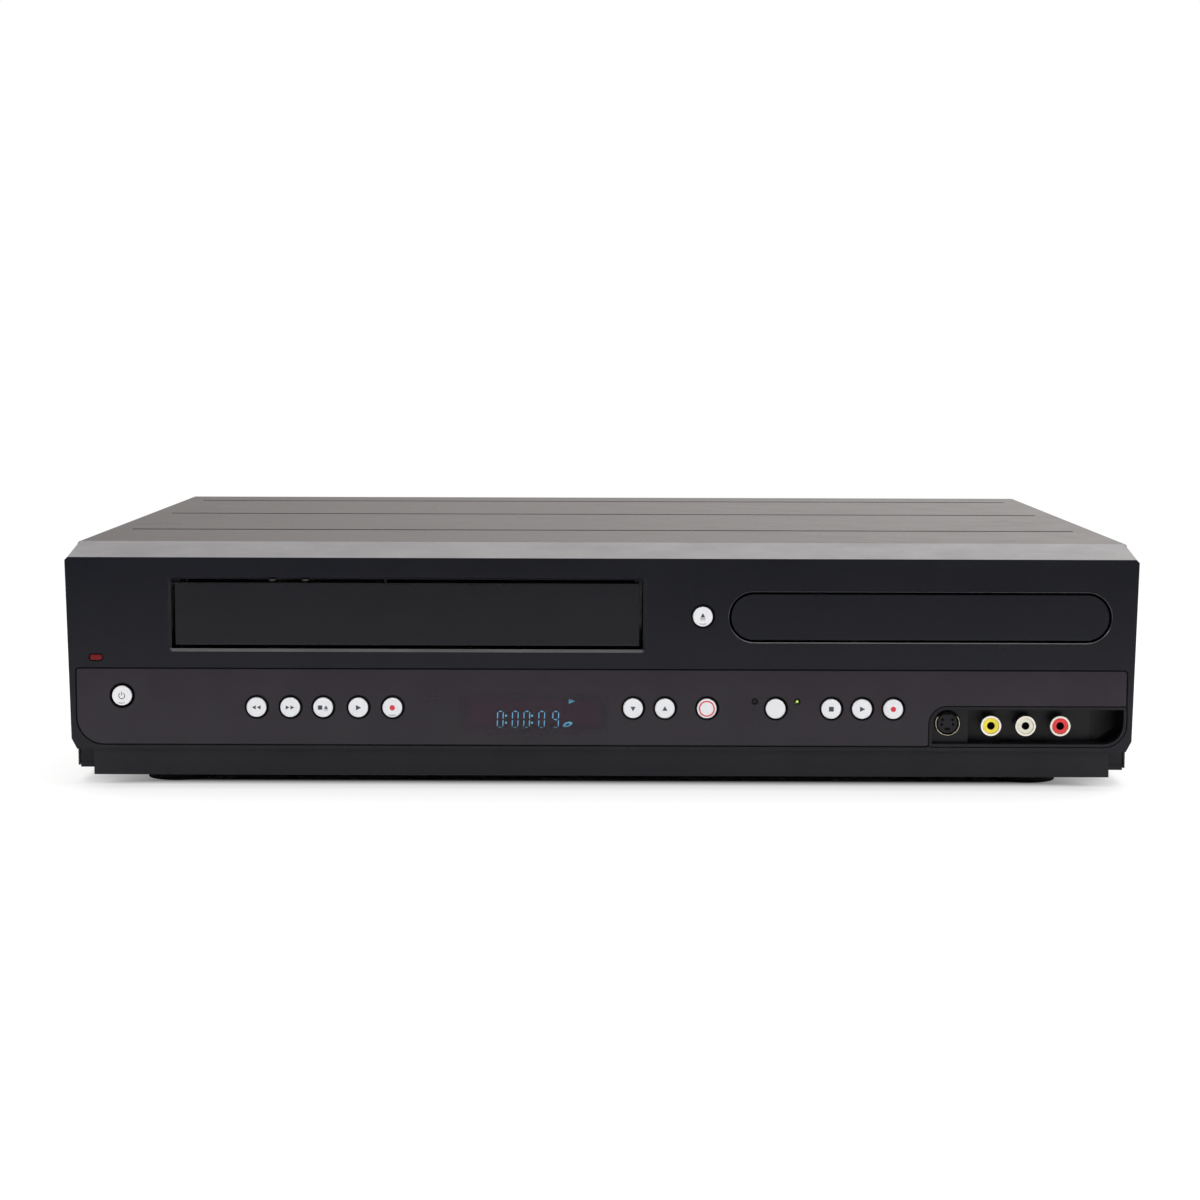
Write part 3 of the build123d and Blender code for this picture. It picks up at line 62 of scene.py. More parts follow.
# %% [markdown]
# ## Shader tools
# Every finish is a short chain of nodes: a fine grain for the tool or paint texture, a slow noise that
# varies the gloss as handling does, and a bevel node that rounds the sharp edges of the solids. A mask of
# those edges lightens their colour a little as wear; where edge_lift is below one, as on the power lens, it
# darkens them instead, as painted shade.

# %% Shader tools
def link(tree, source, target):
    """Joins two sockets of a material's node tree."""
    tree.links.new(source, target)


def noise(tree, place, scale, detail=4.0, roughness=0.55, stretch=(1, 1, 1)):
    """A noise texture over the object's own coordinates, in metres."""
    squeeze = tree.nodes.new("ShaderNodeMapping")
    squeeze.inputs["Scale"].default_value = stretch
    link(tree, place.outputs["Object"], squeeze.inputs["Vector"])
    texture = tree.nodes.new("ShaderNodeTexNoise")
    texture.inputs["Scale"].default_value = scale
    texture.inputs["Detail"].default_value = detail
    texture.inputs["Roughness"].default_value = roughness
    link(tree, squeeze.outputs["Vector"], texture.inputs["Vector"])
    return texture.outputs["Fac"]


def spread(tree, value, low, high, start=0.3, end=0.7):
    """Maps a value between start and end to the range low to high."""
    ranged = tree.nodes.new("ShaderNodeMapRange")
    ranged.inputs["From Min"].default_value = start
    ranged.inputs["From Max"].default_value = end
    ranged.inputs["To Min"].default_value = low
    ranged.inputs["To Max"].default_value = high
    link(tree, value, ranged.inputs["Value"])
    return ranged.outputs["Result"]


def reckon(tree, operation, first, second=None):
    """One step of arithmetic on values of the node tree or plain numbers."""
    step = tree.nodes.new("ShaderNodeMath")
    step.operation = operation
    for socket, value in zip(step.inputs, (first, second)):
        if isinstance(value, float):
            socket.default_value = value
        elif value is not None:
            link(tree, value, socket)
    return step.outputs["Value"]


def along(tree, vector, axis):
    """One axis of a vector: X, Y or Z."""
    split = tree.nodes.new("ShaderNodeSeparateXYZ")
    link(tree, vector, split.inputs["Vector"])
    return split.outputs[axis]


def blend_colours(tree, factor, first, second):
    """A colour that goes from first to second with the factor."""
    mixer = tree.nodes.new("ShaderNodeMix")
    mixer.data_type = "RGBA"
    link(tree, factor, mixer.inputs["Factor"])
    for socket, colour in zip((mixer.inputs[6], mixer.inputs[7]), (first, second)):
        if isinstance(colour, tuple):
            socket.default_value = (*colour, 1)
        else:
            link(tree, colour, socket)
    return mixer.outputs[2]


def finish(name, colour, gloss, metal=0.0, specular=0.5, grain=2500.0, bump=0.00002,
           edge=0.0002, edge_lift=1.6, mottle=1.15, coat=0.0, stretch=(1, 1, 1), scuff=0.0,
           top_specular=None):
    """A finish: colour, (lowest, highest) roughness, grain scale and height in metres, edge radius.

    top_specular is the specular level of the faces that look up, where the tool is polished.
    """
    material = bpy.data.materials.new(name)
    material.use_nodes = True
    tree = material.node_tree
    shader = tree.nodes["Principled BSDF"]
    shader.inputs["Metallic"].default_value = metal
    shader.inputs["Specular IOR Level"].default_value = specular
    shader.inputs["Coat Weight"].default_value = coat
    place = tree.nodes.new("ShaderNodeTexCoord")
    # rounded edges, and a mask of where they are
    rounding = tree.nodes.new("ShaderNodeBevel")
    rounding.samples = 6
    rounding.inputs["Radius"].default_value = edge
    facing = tree.nodes.new("ShaderNodeNewGeometry")
    turn = tree.nodes.new("ShaderNodeVectorMath")
    turn.operation = "DOT_PRODUCT"
    link(tree, rounding.outputs["Normal"], turn.inputs[0])
    link(tree, facing.outputs["Normal"], turn.inputs[1])
    edge_wear_and_shade = spread(tree, turn.outputs["Value"], 1.0, 0.0, 0.8, 0.985)
    if top_specular is not None:
        upward = along(tree, rounding.outputs["Normal"], "Z")
        link(tree, spread(tree, upward, specular, top_specular, 0.25, 0.5),
             shader.inputs["Specular IOR Level"])
    # slow change of colour
    slow = noise(tree, place, 14.0, 5.0)
    deep = tuple(c / mottle for c in colour)
    light = tuple(min(c * mottle, 1.0) for c in colour)
    base = blend_colours(tree, spread(tree, slow, 0.0, 1.0), deep, light)
    # edge_lift above one lightens the edges as wear; below one, as on the power lens, it darkens them as
    # painted shade
    lifted = tuple(min(c * edge_lift + 0.004, 1.0) for c in colour)
    edge_wear_and_shade_here = reckon(tree, "MULTIPLY", edge_wear_and_shade, spread(tree, noise(tree, place, 160.0), 0.1, 0.9))
    base = blend_colours(tree, edge_wear_and_shade_here, base, lifted)
    if scuff:
        marks = spread(tree, noise(tree, place, 60.0, 8.0, 0.7, (0.25, 3.0, 1.0)), 0.0, scuff, 0.66, 0.74)
        base = blend_colours(tree, marks, base, tuple(min(c * 3 + 0.02, 1.0) for c in colour))
    link(tree, base, shader.inputs["Base Color"])
    link(tree, spread(tree, noise(tree, place, 45.0, 6.0, 0.6), *gloss), shader.inputs["Roughness"])
    relief = tree.nodes.new("ShaderNodeBump")
    relief.inputs["Strength"].default_value = 1.0
    relief.inputs["Distance"].default_value = bump
    link(tree, noise(tree, place, grain, 3.0, 0.6, stretch), relief.inputs["Height"])
    link(tree, rounding.outputs["Normal"], relief.inputs["Normal"])
    link(tree, relief.outputs["Normal"], shader.inputs["Normal"])
    return material


def paint(node, material):
    """Gives a solid of the frame its finish in each of its material slots."""
    for holder in nodes[node].material_slots:
        holder.material = material

# %% [markdown]
# ## Moulded blacks
# The front is one injection moulding in satin black styrene: the steel tool is spark-eroded to a fine
# matt, so it looks dark grey where it faces the room and goes silvery at a low angle. The drawer trim
# and the flap come from other tools and are a touch duller.

# %% Moulded blacks
styrene = finish("satin_styrene", (0.0042, 0.0048, 0.0086), (0.27, 0.36), specular=0.22,
                 grain=5200.0, bump=0.000010, edge=0.00016, scuff=0.02, top_specular=0.64)
flap_styrene = finish("flap_styrene", (0.0066, 0.0070, 0.0100), (0.3, 0.4), specular=0.22,
                      grain=4200.0, bump=0.000010, edge=0.0008, scuff=0.03, top_specular=0.8)
trim_styrene = finish("trim_styrene", (0.0040, 0.0046, 0.0084), (0.3, 0.38), specular=0.22,
                      grain=4800.0, bump=0.000008, edge=0.0003, scuff=0.03)
plinth_black = finish("plinth_black", (0.0092, 0.0098, 0.0136), (0.42, 0.55), specular=0.25,
                      grain=2600.0, bump=0.000020, edge=0.0002, scuff=0.05)
recess_black = finish("recess_black", (0.0050, 0.0052, 0.0078), (0.34, 0.44), specular=0.24,
                      grain=3600.0, bump=0.000012, edge=0.0002)
socket_black = finish("socket_black", (0.010, 0.010, 0.012), (0.35, 0.5), specular=0.4,
                      grain=3000.0, bump=0.000015)
sockets = ("fan_frame", "rear_jack_block", "mains_inlet", "s_video_jack")
paint("front_panel", styrene)
paint("cassette_flap", flap_styrene)
paint("tray_door", trim_styrene)
paint("chassis_base", plinth_black)
paint("jack_recess", recess_black)
for node in sockets:
    paint(node, socket_black)
print("moulded blacks on the front, flap, drawer, plinth and recess, and on", len(sockets), "sockets")

# %% [markdown]
# ## Sheet-metal cover
# The cover is cold-rolled sheet, bent over three sides and powder coated. The coat levels to a fine
# orange peel. It is handled and stacked, so it carries light rubbed marks along its length.

# %% Cover paint
cover_paint = finish("cover_paint", (0.024, 0.0200, 0.0190), (0.26, 0.36), specular=0.19, grain=1500.0,
                     bump=0.000016, edge=0.0006, edge_lift=1.8, scuff=0.12)
screw_black = finish("screw_black", (0.02, 0.02, 0.021), (0.32, 0.5), metal=0.6, grain=3000.0,
                     bump=0.00001, edge_lift=4.0)
paint("top_cover", cover_paint)
paint("cover_screws", screw_black)

# %% [markdown]
# ## Smoked control strip
# The strip is a separate moulding in smoked acrylic. It is nearly opaque over the switches, and the
# window in front of the display tube is left clear, so that the lit segments show through it and the
# rest of the tube stays dark.

# %% Smoked strip
window_border = 0.0016
window_fade = 0.005
tint_front, tint_back = strip_front + 0.0006, strip_front + 0.0010


def smoked_strip():
    """Gloss smoked acrylic that lets light through only in front of the display tube."""
    material = finish("smoked_strip", (0.0122, 0.0082, 0.0150), (0.18, 0.28), specular=0.26,
                      grain=900.0, bump=0.000003, edge=0.0003, mottle=1.04)
    tree = material.node_tree
    place = tree.nodes.new("ShaderNodeTexCoord").outputs["Object"]
    low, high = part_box("display_tube")
    inside = []
    for axis, first, last in (("X", low.x, high.x), ("Z", low.z, high.z)):
        middle, reach = (first + last) / 2, (last - first) / 2 - window_border
        away = reckon(tree, "ABSOLUTE", reckon(tree, "SUBTRACT", along(tree, place, axis), middle))
        inside.append(spread(tree, away, 1.0, 0.0, reach - window_fade, reach))
    # the front surface keeps most of its tint, and the back surface is clear
    surface = spread(tree, along(tree, place, "Y"), 0.3, 1.0, tint_front, tint_back)
    clear = tree.nodes.new("ShaderNodeBsdfTransparent")
    clear.inputs["Color"].default_value = (0.66, 0.58, 0.64, 1)
    window = tree.nodes.new("ShaderNodeMixShader")
    link(tree, reckon(tree, "MULTIPLY", reckon(tree, "MULTIPLY", *inside), surface), window.inputs["Fac"])
    link(tree, tree.nodes["Principled BSDF"].outputs["BSDF"], window.inputs[1])
    link(tree, clear.outputs["BSDF"], window.inputs[2])
    link(tree, window.outputs["Shader"], tree.nodes["Material Output"].inputs["Surface"])
    return material


paint("control_panel", smoked_strip())
tube_glass = finish("tube_glass", (0.060, 0.022, 0.028), (0.08, 0.16), specular=0.5, grain=900.0,
                    bump=0.000002)
tube_shader = tube_glass.node_tree.nodes["Principled BSDF"]
tube_shader.inputs["Emission Color"].default_value = (1.0, 0.62, 0.78, 1)
tube_shader.inputs["Emission Strength"].default_value = 0.095
paint("display_tube", tube_glass)

# %% [markdown]
# ## Metals, boards and mechanism plastics
# Zinc-plated sheet has a soft, slightly mottled gleam, nickel on the jack shells is warm and bright,
# and the head drum is turned and polished. The boards are paper laminate in front and green glass
# laminate for the main board. The mechanism's plastics are natural and filled acetal.

# %% Inner finishes
zinc = finish("zinc_sheet", (0.42, 0.42, 0.40), (0.28, 0.46), metal=1.0, grain=900.0, bump=0.000012,
              mottle=1.2, edge_lift=1.2, stretch=(1, 6, 1))
rear_paint = finish("rear_sheet", (0.36, 0.36, 0.35), (0.3, 0.48), metal=1.0, grain=1200.0,
                    bump=0.000012, mottle=1.04, edge_lift=1.2)
nickel = finish("nickel", (0.56, 0.535, 0.47), (0.16, 0.28), metal=1.0, grain=1800.0, bump=0.000004,
                edge_lift=1.15)
polished = finish("polished_steel", (0.66, 0.66, 0.66), (0.08, 0.2), metal=1.0, grain=2600.0,
                  bump=0.000003, edge_lift=1.1, stretch=(1, 1, 12))
acetal = finish("acetal", (0.66, 0.64, 0.58), (0.4, 0.52), grain=1500.0, bump=0.00001, edge_lift=1.1)
grey_acetal = finish("grey_acetal", (0.07, 0.07, 0.075), (0.42, 0.55), grain=1500.0, bump=0.000012)
laminate = finish("paper_laminate", (0.27, 0.16, 0.06), (0.4, 0.55), grain=1800.0, bump=0.00001)
solder_mask = finish("solder_mask", (0.02, 0.13, 0.055), (0.22, 0.36), grain=1200.0, bump=0.00001,
                     coat=0.3)
rubber = finish("rubber", (0.012, 0.012, 0.012), (0.6, 0.75), grain=1500.0, bump=0.00003)
inserts = {
    "phono_yellow": finish("insert_yellow", (0.80, 0.66, 0.035), (0.25, 0.35), bump=0.000006),
    "phono_white": finish("insert_white", (0.74, 0.73, 0.60), (0.25, 0.35), bump=0.000006),
    "phono_red": finish("insert_red", (0.70, 0.022, 0.025), (0.25, 0.35), bump=0.000006),
}
by_slot = {
    "zinc_steel": zinc, "nickel": nickel, "polished_steel": polished, "white_mech": acetal,
    "grey_plastic": grey_acetal, "board_brown": laminate, "board_green": solder_mask,
    "rubber": rubber,
}
for part in frame["record"]["subparts"]:
    if part["material_slot"] in by_slot:
        paint(part["node"], by_slot[part["material_slot"]])
paint("rear_panel", rear_paint)
for node, material in inserts.items():
    paint(node, material)
print(len(by_slot), "slots painted by name")

# %% [markdown]
# ## Mesh tools
# A lathe for turned and round moulded things, and a tile for flat printed signs: a closed plate a few
# hundredths of a millimetre thick, as pad-printed ink is on the real caps.

# %% Mesh tools
def place_piece(name, mesh, material, body, smooth=True):
    """Turns a bmesh into a piece that rides on a body and takes its finish from a slot."""
    bmesh.ops.recalc_face_normals(mesh, faces=mesh.faces[:])
    data = bpy.data.meshes.new(name)
    mesh.to_mesh(data)
    mesh.free()
    for polygon in data.polygons:
        polygon.use_smooth = smooth
    data.materials.append(material)
    piece = bpy.data.objects.new(name, data)
    bpy.context.scene.collection.objects.link(piece)
    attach(piece, body)
    return piece


def lathe(mesh, centre, profile, steps=64):
    """Turns (radius, depth) points about a line along Y through centre, closed at both ends."""
    rings = []
    for radius, depth in profile:
        if radius < 1e-7:
            rings.append([mesh.verts.new((centre.x, centre.y + depth, centre.z))])
        else:
            rings.append([mesh.verts.new((centre.x + radius * cos(tau * i / steps), centre.y + depth,
                                          centre.z + radius * sin(tau * i / steps)))
                          for i in range(steps)])
    for first, second in zip(rings, rings[1:]):
        for i in range(steps):
            j = (i + 1) % steps
            if len(first) == 1:
                mesh.faces.new((first[0], second[i], second[j]))
            elif len(second) == 1:
                mesh.faces.new((first[j], first[i], second[0]))
            else:
                mesh.faces.new((first[i], second[i], second[j], first[j]))


def close_between(mesh, front, rear):
    """Joins two equal rows of corners into a closed solid."""
    mesh.faces.new(front)
    mesh.faces.new(rear[::-1])
    for i in range(len(front)):
        j = (i + 1) % len(front)
        mesh.faces.new((front[i], rear[i], rear[j], front[j]))


def tile(mesh, centre, points, thickness=0.00004):
    """A flat plate with an outline of (x, z) points in millimetres about centre, front at centre.y."""
    front, rear = [], []
    for x, z in points:
        front.append(mesh.verts.new((centre.x + x * millimetre, centre.y, centre.z + z * millimetre)))
        rear.append(mesh.verts.new((centre.x + x * millimetre, centre.y + thickness,
                                    centre.z + z * millimetre)))
    close_between(mesh, front, rear)


def ring_parts(radius, width, start=0.0, end=360.0, steps=48):
    """The outlines that make a flat ring, or part of one, in millimetres and degrees."""
    inner, outer = radius - width / 2, radius + width / 2
    turns = [radians(start + (end - start) * i / steps) for i in range(steps + 1)]
    return [[(inner * cos(a), inner * sin(a)), (outer * cos(a), outer * sin(a)),
             (outer * cos(b), outer * sin(b)), (inner * cos(b), inner * sin(b))]
            for a, b in zip(turns, turns[1:])]


def band(mesh, centre, radius, width, start=0.0, end=360.0, steps=48, thickness=0.00004):
    """A flat ring, or part of one, radius and width in millimetres, angles in degrees."""
    for points in ring_parts(radius, width, start, end, steps):
        tile(mesh, centre, points, thickness)


def block(x, z, width, height):
    """A rectangle in millimetres about (x, z)."""
    return [(x - width / 2, z - height / 2), (x + width / 2, z - height / 2),
            (x + width / 2, z + height / 2), (x - width / 2, z + height / 2)]


print("mesh tools ready")

# %% [markdown]
# ## Outlines of the front faces
# The seams and beads follow the real edges of the solids. Points drawn by hand would drift when a size
# changes, so the outline is read from the front face of the solid, and a small section is swept round it.

# %% Outlines of the front faces
def outline(node):
    """The outer outline of a solid's front face as (x, z) points in metres, in order."""
    solid = nodes[node]
    mesh = bmesh.new()
    mesh.from_mesh(solid.data)
    mesh.transform(solid.matrix_world)
    bmesh.ops.remove_doubles(mesh, verts=mesh.verts[:], dist=1e-6)
    front = min(vertex.co.y for vertex in mesh.verts)
    flat = {face for face in mesh.faces if max(v.co.y for v in face.verts) < front + 1e-5}
    border = {}
    for line in mesh.edges:
        if sum(face in flat for face in line.link_faces) == 1:
            first, second = line.verts
            border.setdefault(first, []).append(second)
            border.setdefault(second, []).append(first)
    loops = []
    while border:
        start = next(iter(border))
        loop, previous, here = [], None, start
        while here in border:
            ahead = [v for v in border.pop(here) if v is not previous]
            loop.append((here.co.x, here.co.z))
            previous, here = here, next((v for v in ahead if v in border), None)
        loops.append(loop)
    mesh.free()
    return max(loops, key=lambda points: max(p[0] for p in points) - min(p[0] for p in points))


def bead(mesh, points, profile):
    """Sweeps (outward, y) points in metres round a closed outline, as a closed ring."""
    count = len(points)
    area = sum(points[i][0] * points[(i + 1) % count][1] - points[(i + 1) % count][0] * points[i][1]
               for i in range(count))
    turn = 1 if area > 0 else -1
    rings = []
    for i, (x, z) in enumerate(points):
        before, after = points[i - 1], points[(i + 1) % count]
        tangent = Vector((x - before[0], z - before[1])).normalized()
        tangent += Vector((after[0] - x, after[1] - z)).normalized()
        tangent.normalize()
        out = Vector((tangent.y, -tangent.x)) * turn
        rings.append([mesh.verts.new((x + out.x * a, y, z + out.y * a)) for a, y in profile])
    for i in range(count):
        first, second = rings[i], rings[(i + 1) % count]
        for j in range(len(profile)):
            k = (j + 1) % len(profile)
            mesh.faces.new((first[j], second[j], second[k], first[k]))


strip_points = outline("control_panel")
door_points = outline("tray_door")
print(len(strip_points), "points round the strip,", len(door_points), "round the door")

# %% [markdown]
# ## Seam, bead and rim
# A near-black band runs round the strip in the groove where its rounded edge falls away: painted shade. The
# drawer's opening has a fine raised bead: its lower half looks up and catches the light, and its lighter,
# glossier colour adds a painted highlight. A near-black ring round the power lens is painted shade in the
# gap round it.

# %% Seam, bead and rim
# The near-black finish below is painted shade. It fills the grooves, gaps, holes and recesses where only
# shade shows, and it is also the S-video shell's own dark colour.
near_black_shade = finish("near_black_shade", (0.0012, 0.0012, 0.0014), (0.45, 0.6), specular=0.06, bump=0.000004)
# A lighter, glossier copy of the front's black for the drawer bead and the flap crest: partly painted
# highlight.
lip_gloss = finish("lip_gloss", (0.020, 0.020, 0.024), (0.22, 0.3), specular=0.4, bump=0.000003,
                   edge=0.00002, top_specular=1.0)
opening_gap = 0.0011
seam_shade = bmesh.new()
bead(seam_shade, strip_points, [(-0.00016, strip_front - 0.00002), (0.00030, strip_front - 0.00002),
                          (0.00030, strip_front + 0.0006), (-0.00016, strip_front + 0.0006)])
place_piece("strip_seam_shade", seam_shade, near_black_shade, "case", smooth=False)
drawer_lip = bmesh.new()
bead(drawer_lip, door_points, [(opening_gap, face_y + 0.0003), (opening_gap, face_y - 0.00002),
                               (opening_gap + 0.00034, face_y - 0.00030),
                               (opening_gap + 0.00036, face_y + 0.0003)])
place_piece("drawer_opening_lip", drawer_lip, lip_gloss, "case", smooth=False)
lens_rim_shade = bmesh.new()
bead(lens_rim_shade, outline("power_lens"), [(0.00002, face_y - 0.00003), (0.00034, face_y - 0.00003),
                                       (0.00034, face_y + 0.0004), (0.00002, face_y + 0.0004)])
place_piece("power_lens_shade_rim", lens_rim_shade, near_black_shade, "case", smooth=False)
print("seam, bead and rim on the face at y", round(face_y, 5))

# %% [markdown]
# ## Crest of the flap and stops of the slot
# The flap's top edge is rounded and catches the light from above, so a slim sloped bar lies along it and
# rides on the flap; the bar is lighter and glossier than the flap, a painted highlight on that edge. Two
# small stops show in the top of the slot.

# %% Crest and stops
flap_low, flap_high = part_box("cassette_flap")
slot_middle, flap_half, crest_inset = 0.07195, 0.0127, 0.0025
flap_front, flap_top = face_y + 0.0012, slot_middle + flap_half
section = [(flap_front + 0.0004, flap_top - 0.0007), (flap_front - 0.00015, flap_top - 0.0006),
           (flap_front + 0.00038, flap_top), (flap_front + 0.0007, flap_top)]
crest = bmesh.new()
close_between(crest, *([crest.verts.new((x, y, z)) for y, z in section]
                       for x in (flap_low.x + crest_inset, flap_high.x - crest_inset)))
place_piece("flap_crest", crest, lip_gloss, "flap", smooth=False)
stop_grey = finish("stop_grey", (0.034, 0.031, 0.026), (0.4, 0.5), bump=0.00001)
stop_left, stop_right, stop_height = -0.1333, -0.1200, 0.0859
stops = bmesh.new()
for x in (stop_left, stop_right):
    tile(stops, Vector((x, face_y + 0.0002, stop_height)), block(0.0, 0.0, 2.4, 0.55), 0.0006)
place_piece("slot_stops", stops, stop_grey, "case", smooth=False)
print("crest at height", round(flap_top, 5))

# %% [markdown]
# ## Push buttons
# Each cap is a small moulding in pale grey with a slightly domed face and a rounded rim, and a stem
# behind it. It is turned on the lathe, takes the place of the plain solid, and rides on its own body, so
# it travels with its switch.

# %% Button caps
cap_plastic = finish("cap_plastic", (0.80, 0.81, 0.835), (0.34, 0.44), specular=0.45, grain=3200.0,
                     bump=0.000006, edge=0.0001, edge_lift=1.05, mottle=1.02)
cap_radius, cap_depth = 0.00398, 0.0044
stem_radius, stem_depth = 0.0018, 0.0095
cap_profile = [(0, 0.00003), (0.0016, 0.00004), (0.0029, 0.00009), (0.0034, 0.00013), (0.00372, 0.00022),
               (0.00393, 0.00038), (cap_radius, 0.00062), (cap_radius, cap_depth),
               (stem_radius, cap_depth), (stem_radius, stem_depth), (0, stem_depth)]
cap_centres = {}
for node in [name for name in nodes if name.startswith("button_")]:
    key = node[len("button_"):]
    low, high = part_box(node)
    cap_centres[key] = Vector(((low.x + high.x) / 2, low.y, (low.z + high.z) / 2))
    cap = bmesh.new()
    lathe(cap, cap_centres[key], cap_profile)
    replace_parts(place_piece("cap_" + key, cap, cap_plastic, "key_" + key), node)
print(len(cap_centres), "caps of", round(2000 * cap_radius, 2), "mm")

# %% [markdown]
# ## Signs on the caps
# The signs are pad printed: slate for the transport signs and red for record. The ink is a thin closed
# plate whose front stands just before the crown of the dome and whose back is sunk in the cap. Three
# caps also have a short moulded ridge to feel for. No words are printed, only the standard signs.

# %% Signs
slate_ink = finish("slate_ink", (0.030, 0.046, 0.066), (0.4, 0.5), bump=0.000002)
red_ink = finish("red_ink", (0.66, 0.018, 0.045), (0.35, 0.45), bump=0.000002)
grey_ink = finish("grey_ink", (0.13, 0.135, 0.145), (0.4, 0.5), bump=0.000002)


def arrow(x, width, half, flip=False):
    """A triangle in millimetres: its base at x, pointing right, or left where it is flipped."""
    points = [(x, -half), (x + width, 0.0), (x, half)]
    return [(-a, b) for a, b in points] if flip else points


def printed(kind, key, outlines, ink, behind=0.00001, thickness=0.00015):
    """A sign or ridge of closed plates on one cap, in millimetres about its centre."""
    mesh = bmesh.new()
    for points in outlines:
        tile(mesh, cap_centres[key] + Vector((0, behind, 0)), points, thickness)
    place_piece(kind + "_" + key, mesh, ink, "key_" + key, smooth=False)


slate_signs = {
    "rewind": [arrow(0.2, 1.55, 0.85, flip=True), arrow(-1.75, 1.55, 0.85, flip=True)],
    "forward": [arrow(0.2, 1.55, 0.85), arrow(-1.75, 1.55, 0.85)],
    "stop_eject": [block(-1.15, 0.0, 1.75, 1.75), [(0.4, -0.55), (2.1, -0.55), (1.25, 0.9)],
                   block(1.25, -1.0, 1.5, 0.22)],
    "cassette_play": [arrow(-0.85, 2.1, 1.1)],
    "tracking_down": [[(-1.05, 0.75), (1.05, 0.75), (0.0, -1.15)]],
    "tracking_up": [[(-1.05, -0.85), (1.05, -0.85), (0.0, 1.05)]],
    "disc_stop": [block(0.0, 0.0, 1.95, 1.95)],
    "disc_play": [arrow(-0.85, 2.1, 1.1)],
    "open_close": [[(-0.95, -0.3), (0.95, -0.3), (0.0, 1.6)], block(0.0, -0.8, 2.1, 0.26),
                   block(0.0, -1.3, 2.0, 0.16)],
}
dot_radius, dot_steps = 1.1, 32
dot = [(dot_radius * cos(tau * i / dot_steps), dot_radius * sin(tau * i / dot_steps))
       for i in range(dot_steps)]
for key, outlines in slate_signs.items():
    printed("sign", key, outlines, slate_ink)
for key in ("cassette_record", "disc_record"):
    printed("sign", key, [dot], red_ink)
printed("sign", "dubbing", ring_parts(3.0, 0.5), red_ink, 0.00002, 0.0003)
printed("sign", "standby", ring_parts(1.2, 0.34, 125, 415) + [block(0.0, 0.85, 0.32, 1.5)], grey_ink)
for key in ("standby", "cassette_record", "open_close"):
    printed("ridge", key, ring_parts(3.05, 0.22, 245, 295, 12), grey_ink, 0.00004, 0.0003)
print(len(slate_signs), "signs in slate, 3 in red and 1 in grey")

# %% [markdown]
# ## Painted shade round the button holes
# The moulded lip round each hole falls away into the dark. A thin near-black ring on the face is painted
# shade for that dark gap. It lies a hair to the right of the hole's middle and above it, where the shade is
# widest.

# %% Painted shade round the holes
shade_right, shade_up = 0.00014, 0.00012
for key, centre in cap_centres.items():
    hole, width = (4.75, 0.4) if key == "standby" else (4.36, 0.6)
    front = face_y if key == "open_close" else strip_front
    hole_shade_ring = bmesh.new()
    band(hole_shade_ring, Vector((centre.x + shade_right, front - 0.00003, centre.z + shade_up)), hole + width / 2,
         width, steps=56, thickness=0.00008)
    place_piece("lip_" + key, hole_shade_ring, near_black_shade, "case", smooth=False)
print(len(cap_centres), "lips")

# %% [markdown]
# ## S-video jack
# The jack is a small round socket: a dark shell with a thin plated ring, a black insert with four pin holes,
# a slot below them and a notch at the top. The shell is near-black: its own dark colour and painted shade
# for the gap round the insert. The pin holes, slot and notch are near-black plugs and plates, painted shade
# in those openings. The shell is turned and takes the solid's place.

# %% S-video jack
jack_low, jack_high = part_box("s_video_jack")
jack = Vector(((jack_low.x + jack_high.x) / 2, jack_low.y, (jack_low.z + jack_high.z) / 2))
depth = jack_high.y - jack_low.y
shell = bmesh.new()
lathe(shell, jack, [(0.0, 0.0006), (0.0046, 0.0006), (0.0047, 0.0001), (0.0049, 0.0), (0.0052, 0.00025),
                    (0.0052, depth), (0.0, depth)])
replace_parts(place_piece("s_video_shell", shell, near_black_shade, "case"), "s_video_jack")
ring_plate = finish("ring_plate", (0.55, 0.51, 0.40), (0.2, 0.32), metal=1.0, bump=0.000004)
ring = bmesh.new()
band(ring, jack + Vector((0, -0.00002, 0)), 4.82, 0.22, 145, 395, thickness=0.0002)
place_piece("s_video_ring", ring, ring_plate, "case", smooth=False)
pin_places = ((-2.03, 1.5), (2.03, 1.5), (-2.3, -0.55), (2.3, -0.55))
pin_hole = [(0, 0), (0.0006, 0), (0.0006, 0.0005), (0, 0.0005)]
insert_spot = jack + Vector((0, 0.00055, 0))
svideo_hole_shades = bmesh.new()
for x, z in pin_places:
    lathe(svideo_hole_shades, insert_spot + Vector((x, 0, z)) * millimetre, pin_hole, 20)
tile(svideo_hole_shades, insert_spot, block(0.0, -2.35, 2.2, 1.05), 0.0005)
tile(svideo_hole_shades, jack + Vector((0, -0.00003, 0)), block(0.0, 4.3, 3.4, 1.3), 0.0009)
place_piece("s_video_hole_shades", svideo_hole_shades, near_black_shade, "case", smooth=False)
insert_face = bmesh.new()
lathe(insert_face, jack + Vector((0, 0.00058, 0)), [(0, 0), (0.0040, 0), (0.0041, 0.0001), (0, 0.0001)], 48)
place_piece("s_video_insert", insert_face, recess_black, "case", smooth=False)
print("S-video jack at", tuple(round(v, 4) for v in jack))

# %% [markdown]
# ## Painted shade in the phono holes
# A small near-black turned plug with a hollow front sits in the centre hole of each phono jack, inside its
# coloured insert: painted shade in the hole. The front row lies to the right of the rear row and higher, so
# its centres are taken from the upper right corner of each insert's box.

